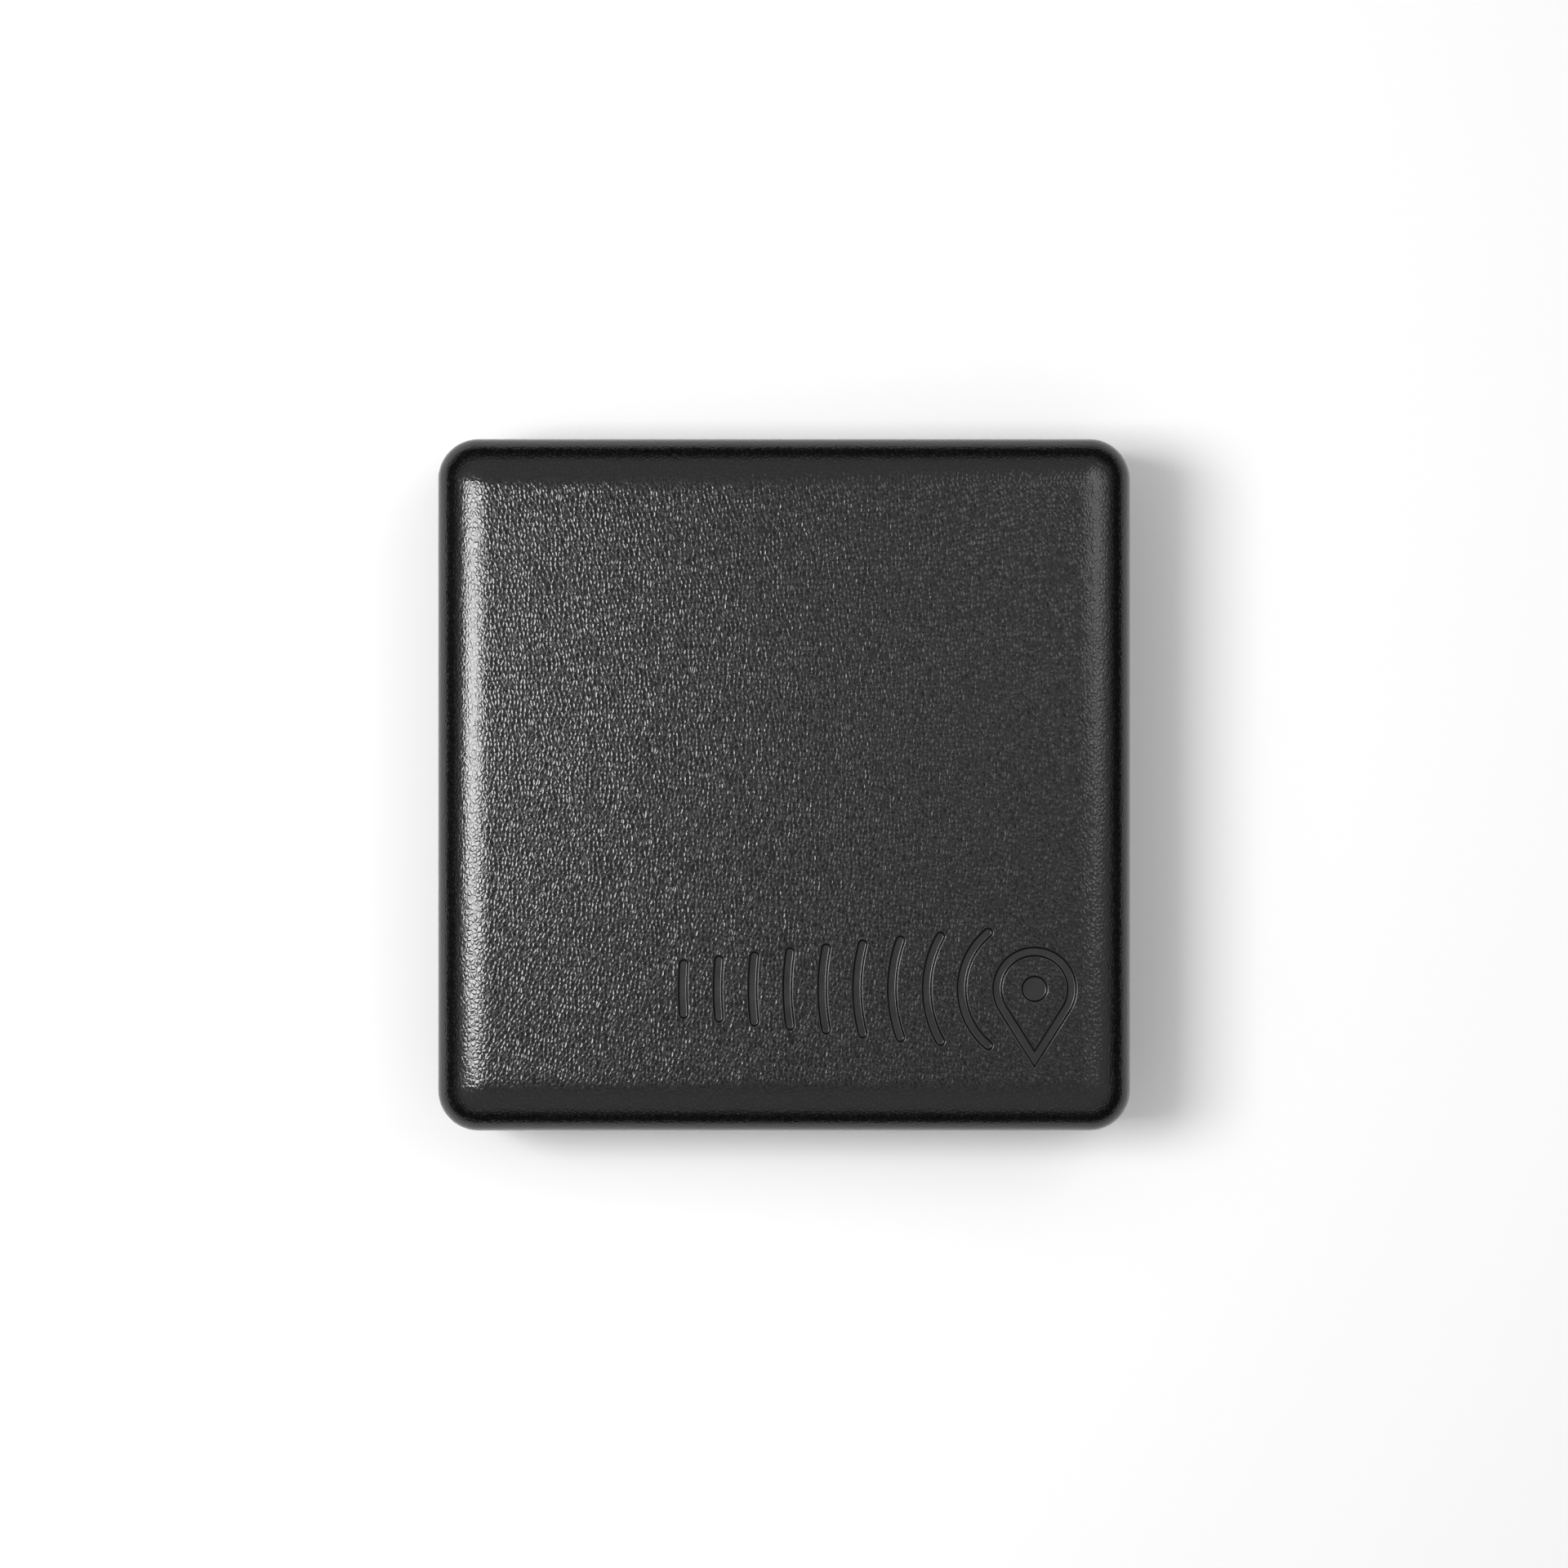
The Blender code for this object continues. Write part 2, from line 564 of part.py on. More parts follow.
def rear_cover():
    cover = outer_form("rear_cover", BLACK_PLASTIC)
    cut(
        cover,
        block(
            "above_seam",
            (-CASE_WIDTH,) * 2 + (PARTING_HEIGHT - SEAM_GAP / 2,),
            (CASE_WIDTH,) * 2 + (CASE_THICKNESS + PAST,),
        ),
    )
    join(
        cover,
        block(
            "lip",
            (-LIP_OUTSIDE, -LIP_OUTSIDE, REAR_WALL + ROOTED),
            (LIP_OUTSIDE, LIP_OUTSIDE, LIP_TOP),
            radius=CAVITY_RADIUS,
            along=2,
        ),
    )
    cut(
        cover,
        block(
            "rear_cavity",
            (-LIP_INSIDE, -LIP_INSIDE, REAR_WALL),
            (LIP_INSIDE, LIP_INSIDE, CASE_THICKNESS),
            radius=CAVITY_RADIUS,
            along=2,
        ),
        seal_groove(),
    )
    root = REAR_WALL - ROOTED
    join(cover, disc("door_collar", (0, 0, root), COLLAR_RADIUS, COLLAR_TOP - root, steps=TURNED_STEPS))
    boss_radius = SCREW_HEAD_RADIUS + BOSS_WALL
    for i, (x, y) in enumerate(four_corners(SCREW_AT)):
        join(cover, disc(f"rear_boss_{i}", (x, y, root), boss_radius, PARTING_HEIGHT - root))
    for i, (x, y) in enumerate(((0, POST_AT), (0, -POST_AT), (POST_AT, 0), (-POST_AT, 0))):
        join(cover, disc(f"post_{i}", (x, y, root), POST_RADIUS, BOARD_HEIGHT - SEAT_GAP - root))
        if x == 0:
            join(cover, disc(f"pin_{i}", (x, y, root), PIN_RADIUS, BOARD_TOP + PIN_PROUD - root, steps=16))
    cut(
        cover,
        disc("door_recess", (0, 0, -PAST), RECESS_RADIUS, PAST + DOOR_INSIDE + SEAT_GAP, steps=TURNED_STEPS),
        disc("door_bore", (0, 0, -PAST), BORE_RADIUS, CASE_THICKNESS, steps=TURNED_STEPS),
    )
    for i, start in enumerate(thread_starts()):
        inner, outer = BORE_RADIUS - THREAD_DEPTH, BORE_RADIUS + ROOTED
        join(cover, thread_piece(f"rib_{i}", inner, outer, RIB_LEVEL, start))
    for i, (x, y) in enumerate(four_corners(SCREW_AT)):
        seat = SCREW_HEAD_SINK + SCREW_HEAD_HEIGHT + SEAT_GAP
        head, shank = SCREW_HEAD_RADIUS + RUNNING_GAP, SCREW_SHANK_RADIUS + RUNNING_GAP
        cut(
            cover,
            disc(f"counterbore_{i}", (x, y, -PAST), head, PAST + seat, steps=24),
            disc(f"screw_hole_{i}", (x, y, -PAST), shank, CASE_THICKNESS, steps=16),
        )


def seal_groove():
    """A square ring that opens outwards, for the perimeter seal to lie in."""
    floor = WALL_INSIDE - 2 * SEAT_GAP - SEAL_CORD
    low, high = SEAL_HEIGHT - GROOVE_HEIGHT / 2, SEAL_HEIGHT + GROOVE_HEIGHT / 2
    outside = rounded_square(HALF, EDGE_RADIUS)
    inside = rounded_square(floor, CAVITY_RADIUS)
    return flat_outlines("seal_groove", [outside, inside], low, high)


def perimeter_seal():
    line = WALL_INSIDE - SEAT_GAP - SEAL_CORD / 2
    points = [(x, y, SEAL_HEIGHT) for x, y in rounded_square(line, SEAL_CORD)]
    solid_from_curve("perimeter_seal", path_curve("seal_line", points, SEAL_CORD / 2, closed=True), SEAL)


def case_screws():
    head_top = SCREW_HEAD_SINK + SCREW_HEAD_HEIGHT
    inset, rise = SCREW_HEAD_DOME
    profile = [
        (0, head_top + SCREW_LENGTH),
        (SCREW_TIP_RADIUS, head_top + SCREW_LENGTH),
        (SCREW_SHANK_RADIUS, head_top + SCREW_LENGTH - SCREW_TIP),
        (SCREW_SHANK_RADIUS, head_top),
        (SCREW_HEAD_RADIUS, head_top),
        (SCREW_HEAD_RADIUS, SCREW_HEAD_SINK + rise),
        (SCREW_HEAD_RADIUS - inset, SCREW_HEAD_SINK),
        (0, SCREW_HEAD_SINK),
    ]
    length, width, depth = SCREW_DRIVE
    arms = ((length / 2, width / 2), (width / 2, length / 2))
    for i, (x, y) in enumerate(four_corners(SCREW_AT), start=1):
        screw = turned(f"case_screw_{i}", profile, SCREW_STEEL, centre=(x, y, 0), steps=20)
        for arm, (dx, dy) in enumerate(arms):
            top = SCREW_HEAD_SINK + depth
            cut(screw, block(f"drive_{i}_{arm}", (x - dx, y - dy, -PAST), (x + dx, y + dy, top)))


# ---- Battery door and coin cell ----


def battery_door():
    profile = [
        (0, DOOR_INSIDE),
        (SKIRT_INNER, DOOR_INSIDE),
        (SKIRT_INNER, SKIRT_TOP),
        (SKIRT_OUTER, SKIRT_TOP),
        (SKIRT_OUTER, DOOR_INSIDE),
        (DOOR_RADIUS, DOOR_INSIDE),
        (DOOR_RADIUS, DOOR_RECESS + DOOR_CHAMFER),
        (DOOR_RADIUS - DOOR_CHAMFER, DOOR_RECESS),
        (0, DOOR_RECESS),
    ]
    door = turned("battery_door", profile, DOOR_PLASTIC)
    length, width, depth = COIN_SLOT
    slot = block(
        "coin_slot",
        (-length / 2, -width / 2, -PAST),
        (length / 2, width / 2, DOOR_RECESS + depth),
        radius=width * 0.49,
        segments=5,
        along=2,
    )
    for i, start in enumerate(thread_starts()):
        inner, outer = SKIRT_OUTER - ROOTED, SKIRT_OUTER + THREAD_DEPTH
        join(door, thread_piece(f"lug_{i}", inner, outer, LUG_LEVEL, start))
    cut(door, slot)


def door_o_ring():
    bpy.ops.mesh.primitive_torus_add(
        major_segments=TURNED_STEPS,
        minor_segments=10,
        major_radius=SKIRT_OUTER + SEAT_GAP + DOOR_RING_CORD / 2,
        minor_radius=DOOR_RING_CORD / 2,
        location=(0, 0, RING_LEVEL),
    )
    ring = bpy.context.object
    ring.name = "door_o_ring"
    place(ring, SEAL)


def coin_cell():
    top = CELL_BOTTOM + CELL_HEIGHT
    floor = CELL_BOTTOM + CELL_CAN_WALL
    inside = CELL_RADIUS - CELL_CAN_WALL
    crimp = CELL_RADIUS - CELL_CRIMP
    lip = top - CELL_CAP_PROUD
    can = [
        (0, floor),
        (inside, floor),
        (inside, lip - CELL_CAN_WALL),
        (crimp, lip - CELL_CAN_WALL),
        (crimp, lip),
        (CELL_RADIUS - CELL_EDGE, lip),
        (CELL_RADIUS, lip - CELL_EDGE),
        (CELL_RADIUS, CELL_BOTTOM + CELL_EDGE),
        (CELL_RADIUS - CELL_EDGE, CELL_BOTTOM),
        (0, CELL_BOTTOM),
    ]
    turned("coin_cell_can", can, STEEL)
    ring_out, ring_in = inside - SEAT_GAP, crimp - CELL_GASKET
    ring_low, ring_high = floor + SEAT_GAP, lip - CELL_CAN_WALL - SEAT_GAP
    gasket = [
        (crimp - SEAT_GAP, lip),
        (crimp - SEAT_GAP, ring_high),
        (ring_out, ring_high),
        (ring_out, ring_low),
        (ring_in, ring_low),
        (ring_in, lip),
    ]
    turned("coin_cell_gasket", gasket, NYLON)
    cap_radius = ring_in - SEAT_GAP
    cap = [
        (0, top),
        (cap_radius - CELL_EDGE, top),
        (cap_radius, top - CELL_EDGE / 2),
        (cap_radius, floor + SEAT_GAP),
        (0, floor + SEAT_GAP),
    ]
    turned("coin_cell_cap", cap, STEEL)


def cell_contacts():
    solder = BOARD_HEIGHT - SEAT_GAP - CONTACT_METAL / 2
    cap = CELL_BOTTOM + CELL_HEIGHT + SEAT_GAP + CONTACT_METAL / 2
    levels = (solder, solder, solder - (solder - cap) / 4, cap, cap, cap + (solder - cap) / 3)
    negative = list(zip(NEGATIVE_CONTACT_LINE, levels))
    bent_strip("cell_contact_negative", negative, NEGATIVE_CONTACT_WIDTH, GOLD_METAL)
    touch = CELL_RADIUS + SEAT_GAP + CONTACT_METAL / 2
    above_skirt = SKIRT_TOP + RUNNING_GAP + CONTACT_METAL / 2
    can_edge = CELL_BOTTOM + CELL_HEIGHT - CELL_CAP_PROUD - CELL_EDGE
    far, bend, near = POSITIVE_CONTACT_REACH
    positive = [
        (CELL_RADIUS + far, solder),
        (CELL_RADIUS + bend, solder),
        (CELL_RADIUS + near, solder - CONTACT_METAL),
        (touch, (above_skirt + 3 * can_edge) / 4),
        (touch + CONTACT_LEAD_IN, above_skirt),
    ]
    corner = math.radians(135)
    bent_strip("cell_contact_positive", positive, POSITIVE_CONTACT_WIDTH, GOLD_METAL, turn=corner)


# ---- Circuit board ----


def circuit_board():
    board = block(
        "circuit_board",
        (-BOARD_HALF, -BOARD_HALF, BOARD_HEIGHT),
        (BOARD_HALF, BOARD_HALF, BOARD_TOP),
        BOARD,
        radius=BOARD_CORNER,
        along=2,
    )
    for i, (x, y) in enumerate(four_corners(1)):
        near = SCREW_AT - BOARD_NOTCH
        corners = sorted((x * near, x * CASE_WIDTH)), sorted((y * near, y * CASE_WIDTH))
        low = (corners[0][0], corners[1][0], BOARD_HEIGHT - PAST)
        high = (corners[0][1], corners[1][1], BOARD_TOP + PAST)
        cut(board, block(f"notch_{i}", low, high, radius=BOARD_NOTCH_RADIUS, along=2))
    for i, y in enumerate((POST_AT, -POST_AT)):
        hole = PIN_RADIUS + 2 * SEAT_GAP
        depth = BOARD_THICKNESS + 2 * PAST
        cut(board, disc(f"pin_hole_{i}", (0, y, BOARD_HEIGHT - PAST), hole, depth, steps=16))


def chip(name, centre, size, finish, chamfer=0.0):
    """A part soldered to the front side of the board; centre is on the board, from its middle."""
    x, y = centre
    dx, dy = size[0] / 2, size[1] / 2
    low = (x - dx, y - dy, BOARD_TOP + SEAT_GAP)
    high = (x + dx, y + dy, BOARD_TOP + SEAT_GAP + size[2])
    block(name, low, high, finish, radius=chamfer, segments=1)


def board_parts():
    finishes = {"black": CHIP, "metal": STEEL, "tan": TAN, "white": WHITE}
    for name, x, y, length, width, height, finish, chamfer in BOARD_PARTS:
        size = (length * MM, width * MM, height * MM)
        chip(name, (x * MM, y * MM), size, finishes[finish], chamfer * MM)
    for i, (x, y) in enumerate(SMALL_CAPACITORS, start=1):
        chip(f"small_capacitor_{i}", (x * MM, y * MM), SMALL_CAPACITOR_SIZE, TAN)
    antenna_y = BOARD_HALF - ANTENNA_INSET - ANTENNA_SIZE[1] / 2
    chip("chip_antenna", (ANTENNA_OFFSET, antenna_y), ANTENNA_SIZE, WHITE)
    chip("status_led", (BOARD_HALF - LED_SIZE[0] / 2, PIPE_OFFSET), LED_SIZE, WHITE)


# ---- Sounder ----


def sounder():
    turned(
        "sounder_adhesive",
        [
            (PIEZO_RADIUS, FRONT_INSIDE - SEAT_GAP),
            (PIEZO_RADIUS, FRONT_INSIDE - ADHESIVE_THICKNESS - SEAT_GAP / 2),
            (PIEZO_RADIUS - ADHESIVE_WIDTH, FRONT_INSIDE - ADHESIVE_THICKNESS - SEAT_GAP / 2),
            (PIEZO_RADIUS - ADHESIVE_WIDTH, FRONT_INSIDE - SEAT_GAP),
        ],
        FOAM,
        steps=48,
    )
    disc("sounder_plate", (0, 0, PLATE_LEVEL), PIEZO_RADIUS, PIEZO_PLATE, BRASS, steps=48)
    disc("sounder_ceramic", (0, 0, CERAMIC_LEVEL), CERAMIC_RADIUS, CERAMIC_THICKNESS, CERAMIC, steps=48)
    contact_spring("sounder_spring_plate", (0, -(CERAMIC_RADIUS + PIEZO_RADIUS) / 2), PLATE_LEVEL)
    contact_spring("sounder_spring_ceramic", (0, -CERAMIC_RADIUS / 2), CERAMIC_LEVEL)


def contact_spring(name, centre, top):
    """A coil spring that stands on the board and touches the sounder at top."""
    per_turn = 12
    low = BOARD_TOP + SEAT_GAP + SPRING_WIRE / 2
    high = top - SEAT_GAP - SPRING_WIRE / 2
    count = SPRING_TURNS * per_turn
    points = []
    for i in range(count + 1):
        angle = 2 * math.pi * i / per_turn
        x = centre[0] + SPRING_RADIUS * math.cos(angle)
        y = centre[1] + SPRING_RADIUS * math.sin(angle)
        points.append((x, y, low + (high - low) * i / count))
    solid_from_curve(name, path_curve(name + "_line", points, SPRING_WIRE / 2, resolution=1), GOLD_METAL)


# ---- Button, switch and light ----


def side_button():
    face = HALF - BUTTON_RECESS
    low, high, radius = button_outline(0, FLANGE_FACE - BUTTON_FLANGE_THICKNESS / 2, face)
    button = block("side_button", low, high, RUBBER, radius=radius, segments=6, along=0)
    low, high, radius = button_outline(BUTTON_FLANGE, FLANGE_FACE - BUTTON_FLANGE_THICKNESS, FLANGE_FACE)
    join(button, block("button_flange", low, high, radius=radius, segments=6, along=0))
    half_width, half_height = PLUNGER_WIDTH / 2, PLUNGER_HEIGHT / 2
    nub = block(
        "button_nub",
        (NUB_TIP, BUTTON_OFFSET - half_width, PLUNGER_LEVEL - half_height),
        (FLANGE_FACE - BUTTON_FLANGE_THICKNESS / 2, BUTTON_OFFSET + half_width, PLUNGER_LEVEL + half_height),
    )
    join(button, nub)
    set_origin(button, (face, BUTTON_OFFSET, BUTTON_LEVEL))


def tact_switch():
    length, width, height = SWITCH_SIZE
    tip = NUB_TIP - SEAT_GAP
    front = tip - 2 * BUTTON_TRAVEL
    body = block(
        "switch_body",
        (front - length, BUTTON_OFFSET - width / 2, SWITCH_LEVEL),
        (front, BUTTON_OFFSET + width / 2, SWITCH_LEVEL + height),
        WHITE,
    )
    half_width, half_height = PLUNGER_WIDTH / 2, PLUNGER_HEIGHT / 2
    low = Vector((front - PLUNGER_INSIDE, BUTTON_OFFSET - half_width, PLUNGER_LEVEL - half_height))
    high = Vector((tip, BUTTON_OFFSET + half_width, PLUNGER_LEVEL + half_height))
    room = Vector((RUNNING_GAP,) * 3)
    behind, ahead = Vector((BUTTON_TRAVEL, 0, 0)), Vector((PAST, 0, 0))
    cut(body, block("plunger_room", low - room - behind, high + room + ahead))
    plunger = block("switch_plunger", low, high, CHIP)
    set_origin(plunger, (tip, BUTTON_OFFSET, PLUNGER_LEVEL))


def light_pipe():
    end = (BOARD_HALF + BOARD_GAP, PIPE_OFFSET, PIPE_LEVEL)
    shoulder = WALL_INSIDE - SEAT_GAP
    outer = HALF - SEAT_GAP
    pipe = disc("light_pipe", end, PIPE_RADIUS, outer - end[0], CLEAR, "X", 20)
    join(pipe, disc("pipe_collar", end, PIPE_RADIUS + PIPE_COLLAR, shoulder - end[0], None, "X", 20))


clear_scene()
PARTS = collection("tracker_tag")
TOOLS = collection("tools")
front_cover()
rear_cover()
perimeter_seal()
case_screws()
battery_door()
door_o_ring()
coin_cell()
cell_contacts()
circuit_board()
board_parts()
sounder()
side_button()
tact_switch()
light_pipe()
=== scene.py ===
"""The looks of the square tracker tag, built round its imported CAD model.

The two shells, the battery door, the O-ring, the button, the light pipe and the screws are made here as
fine meshes with small edge radii. Every other piece keeps its CAD shape and gets a procedural material.
"""

import functools
import json
import math

import bmesh
import bpy
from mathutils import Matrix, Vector


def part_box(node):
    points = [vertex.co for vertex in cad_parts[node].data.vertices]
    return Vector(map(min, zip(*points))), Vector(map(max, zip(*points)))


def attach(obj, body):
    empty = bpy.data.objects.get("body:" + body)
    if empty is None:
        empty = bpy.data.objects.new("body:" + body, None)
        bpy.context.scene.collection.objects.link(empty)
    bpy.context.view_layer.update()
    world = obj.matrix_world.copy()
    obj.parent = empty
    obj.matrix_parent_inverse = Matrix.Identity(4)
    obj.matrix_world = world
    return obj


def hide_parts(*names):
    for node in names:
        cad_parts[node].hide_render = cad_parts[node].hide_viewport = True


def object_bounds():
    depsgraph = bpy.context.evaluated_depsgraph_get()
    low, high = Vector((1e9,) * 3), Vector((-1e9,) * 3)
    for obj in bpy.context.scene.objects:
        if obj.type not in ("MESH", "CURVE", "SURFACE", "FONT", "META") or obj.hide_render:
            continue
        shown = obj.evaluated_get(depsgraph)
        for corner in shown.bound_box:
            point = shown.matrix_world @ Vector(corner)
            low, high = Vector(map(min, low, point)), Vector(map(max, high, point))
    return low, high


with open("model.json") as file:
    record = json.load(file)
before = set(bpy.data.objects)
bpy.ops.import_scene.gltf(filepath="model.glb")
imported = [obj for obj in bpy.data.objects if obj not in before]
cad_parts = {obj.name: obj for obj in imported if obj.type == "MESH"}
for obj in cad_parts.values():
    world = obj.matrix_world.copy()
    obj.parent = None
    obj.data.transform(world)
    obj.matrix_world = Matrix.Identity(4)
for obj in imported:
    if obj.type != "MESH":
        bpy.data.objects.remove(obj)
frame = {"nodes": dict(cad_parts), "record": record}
CAD_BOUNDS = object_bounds()
MM = 0.001

# ---- Sizes read from the CAD model ----
CASE_LOW = CAD_BOUNDS[0].z
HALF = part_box("front_cover")[1].x
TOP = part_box("front_cover")[1].z
FRONT_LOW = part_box("front_cover")[0].z
DOOR_LOW, DOOR_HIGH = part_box("battery_door")
RING_LOW, RING_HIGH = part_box("door_o_ring")
BUTTON_LOW, BUTTON_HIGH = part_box("side_button")
PIPE_LOW, PIPE_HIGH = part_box("light_pipe")
BOARD_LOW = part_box("circuit_board")[0].z
BOARD_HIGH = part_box("circuit_board")[1].z
SEAL_LEVEL = (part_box("perimeter_seal")[0].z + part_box("perimeter_seal")[1].z) / 2

# ---- Sizes shared with the CAD model ----
SEAT_GAP = 0.04 * MM
RUNNING_GAP = 0.15 * MM
WALL = 1.2 * MM
EDGE_RADIUS = 2.45 * MM
EDGE_REACH = 3.3 * MM  # the front's edge starts further in and more gently than the CAD model's arc
EDGE_DROP = 2.2 * MM
DOOR_GAP = 0.2 * MM  # round the door's plate
SEAM_GAP = 0.3 * MM
CAVITY_RADIUS = 0.5 * MM
LIP_WIDTH = 1.2 * MM
LIP_GAP = 0.1 * MM
LIP_TOP = 4.5 * MM
GROOVE_HEIGHT = 0.7 * MM
SEAL_CORD = 0.6 * MM
SCREW_INSET = 4.5 * MM
HEAD_RADIUS = 1.3 * MM
HEAD_TOP = 1.15 * MM
SHANK = 0.75 * MM
PILOT_TOP = 6.85 * MM
FRONT_BOSS = 1.69 * MM
REAR_BOSS = 2.2 * MM
CROSS_ARM = (0.85 * MM, 0.16 * MM, 0.5 * MM)  # half length, half width, depth
POST_INSET = 4.6 * MM
POST_RADIUS = 1.1 * MM
PIN_RADIUS = 0.5 * MM
PIN_PROUD = 0.25 * MM
DOOR_RADIUS = 13.3 * MM
PLATE_TOP = 1.1 * MM
SKIRT_INNER = 10.5 * MM
SKIRT_OUTER = 11.9 * MM
COIN_SLOT = (6.0 * MM, 0.85 * MM, 0.55 * MM)  # half length, half width, depth
COLLAR_WALL = 1.6 * MM
THREAD_STARTS = (0, 120, 240)
THREAD_LEAD = 12.0 * MM
THREAD_ARC = 22.0
THREAD_HEIGHT = 0.5 * MM
THREAD_DEPTH = 0.75 * MM
RIB_LEVEL = 2.05 * MM
LUG_LEVEL = 2.63 * MM
FLANGE = 0.4 * MM
FLANGE_THICKNESS = 0.7 * MM
FLANGE_REST = 0.2 * MM
PIPE_RADIUS = 0.75 * MM
MARK_DEPTH = 0.25 * MM
MARK_STROKE = 0.5 * MM
MARK_RIGHT_INSET = 3.4 * MM
MARK_BOTTOM_INSET = 4.0 * MM
PIN_HEAD = 2.5 * MM
PIN_HEIGHT = 7.2 * MM
PIN_DOT = 0.75 * MM
WAVE_COUNT = 9
WAVE_FIRST = 4.4 * MM
WAVE_PITCH = 2.1 * MM
WAVE_HALF_HEIGHTS = (3.4 * MM, 1.5 * MM)

# ---- Worked out from the values above ----
WALL_INSIDE = HALF - WALL
PARTING_HEIGHT = FRONT_LOW - SEAM_GAP / 2
REAR_HIGH = FRONT_LOW - SEAM_GAP
LIP_OUTSIDE = WALL_INSIDE - LIP_GAP
LIP_INSIDE = LIP_OUTSIDE - LIP_WIDTH
GROOVE_FLOOR = WALL_INSIDE - 2 * SEAT_GAP - SEAL_CORD
SCREW_AT = HALF - SCREW_INSET
SCREW_HOLE = SHANK + RUNNING_GAP
COUNTERBORE = HEAD_RADIUS + RUNNING_GAP
POST_AT = HALF - POST_INSET
BORE = RING_HIGH.x + SEAT_GAP
COLLAR = BORE + COLLAR_WALL
COLLAR_TOP = DOOR_HIGH.z + RUNNING_GAP
RECESS = DOOR_RADIUS + DOOR_GAP
RECESS_TOP = PLATE_TOP + SEAT_GAP
BUTTON_OFFSET = (BUTTON_LOW.y + BUTTON_HIGH.y) / 2
BUTTON_LEVEL = (BUTTON_LOW.z + BUTTON_HIGH.z) / 2
BUTTON_HALF_WIDTH = (BUTTON_HIGH.y - BUTTON_LOW.y) / 2 - FLANGE
BUTTON_HALF_HEIGHT = (BUTTON_HIGH.z - BUTTON_LOW.z) / 2 - FLANGE
FLANGE_FACE = WALL_INSIDE - FLANGE_REST
PIPE_AT = ((PIPE_LOW.y + PIPE_HIGH.y) / 2, (PIPE_LOW.z + PIPE_HIGH.z) / 2)
PIN_CENTRE = (HALF - MARK_RIGHT_INSET - PIN_HEAD, -HALF + MARK_BOTTOM_INSET + PIN_HEIGHT - PIN_HEAD)

# ---- Small edges and fineness of the meshes made here ----
SEAM_EDGE = 0.15 * MM
SMALL_EDGE = 0.12 * MM
DOOR_EDGE = 0.25 * MM
BUTTON_EDGE = 0.35 * MM
MARK_EDGE = 0.1 * MM
SCREW_DOME = (0.26 * MM, 0.3 * MM)  # across and along the axis
SCREW_TIP = (0.3 * MM, 0.6 * MM)  # its end's radius, and its length
CROSS_CORNER = 0.03 * MM
PIPE_DOME = 0.12 * MM
NEARLY_HALF = 0.98  # a slot end's radius against its half width, so that the two corners stay apart
CORNER_STEPS = 12
CASE_EDGE_STEPS = 18
EDGE_STEPS = 4
PIPE_DOME_STEPS = 8
CROSS_CORNER_STEPS = 3
TURNED_STEPS = 144
SMALL_TURNED_STEPS = 48
CORD_STEPS = 24
THREAD_STEPS = 16
THREAD_CORNER_STEPS = 4
PIN_STEPS = 60
WAVE_STEPS = 24
WAVE_END_STEPS = 12
SHARP_ANGLE = math.radians(40)
SQUARE_ON = math.cos(math.radians(0.2))  # a face is level or upright within this
LARGE_FACE = 5 * MM * MM
WELD = 2e-7

# ---- Materials' values ----
NOISE_RANGE = (0.3, 0.7)  # most of a noise's values lie within this
SHELL_COLOUR = (0.004, 0.004, 0.0041)
SHELL_ROUGHNESS = (0.2, 0.1)  # in the hollows of the grain, and on its pebbles
HOLLOW_SHADE_SHARE = 0.25  # of the shell colour, left in the grain's hollows as painted shade
GRAIN_PITCH = 0.23 * MM
GRAIN_HEIGHT = 0.0185 * MM
GRAIN_VALLEY = 0.3  # half a valley's width, as a share of the pitch
GRAIN_FADE = (17.9 * MM, 19.4 * MM)  # from the centre: the grain grows fainter over the round edge
GRAIN_ON_SIDES = 0.5  # of its height on the face
GRAIN_UPRIGHT = (1.0, 0.8, 1.0)  # scale that draws the grain out along Y
FOLD_SCALE = 0.6 / GRAIN_PITCH  # of the slower noise under the pebbles
FOLD_SHARE = 0.9
PEBBLE_SHARE = 0.6

# ---- Light and camera ----
FLOOR_HALF = 3.0
FLOOR_GAP = 0.02 * MM
FLOOR_GREYS = (0.79, 0.81)
FLOOR_ROUGHNESS = (0.7, 0.8)
BACKDROP_RADIUS = 2.4  # near enough that other views don't clip it
BACKDROP_STEPS = 96
BACKDROP_HEIGHT = 2.5
BACKDROP_RADIANCE = (0.36, 0.72)  # at the floor, and from a third of the way up
LIGHT_DISTANCE = 0.3
SKY_RADIANCE = 0.66
SKY_LOW_RADIANCE = 0.02
SKY_OVERHEAD = (math.cos(math.radians(22)), 0.25)  # darker within this of straight up, down to this share
SKY_EDGE = (math.cos(math.radians(64)), math.cos(math.radians(56)))  # the lit sky fades out between these
# Name, tilt from straight up, azimuth, size along the tilt and across it in degrees, radiance
LIGHTS = (
    ("left_softbox", 31, 175, 24, 19, 18),
    ("left_inner_softbox", 14, 176, 10, 19, 2),
    ("right_softbox", 34.5, 30, 23, 36, 2.2),
    ("right_inner_softbox", 9, 15, 13, 30, 0.8),
)
LENS = 100.0
SENSOR = 36.0
FRAME_WIDTH = 95.25 * MM  # at the widest height of the case
CAMERA_OFFSET = 0.05 * MM


# ---- Materials ----


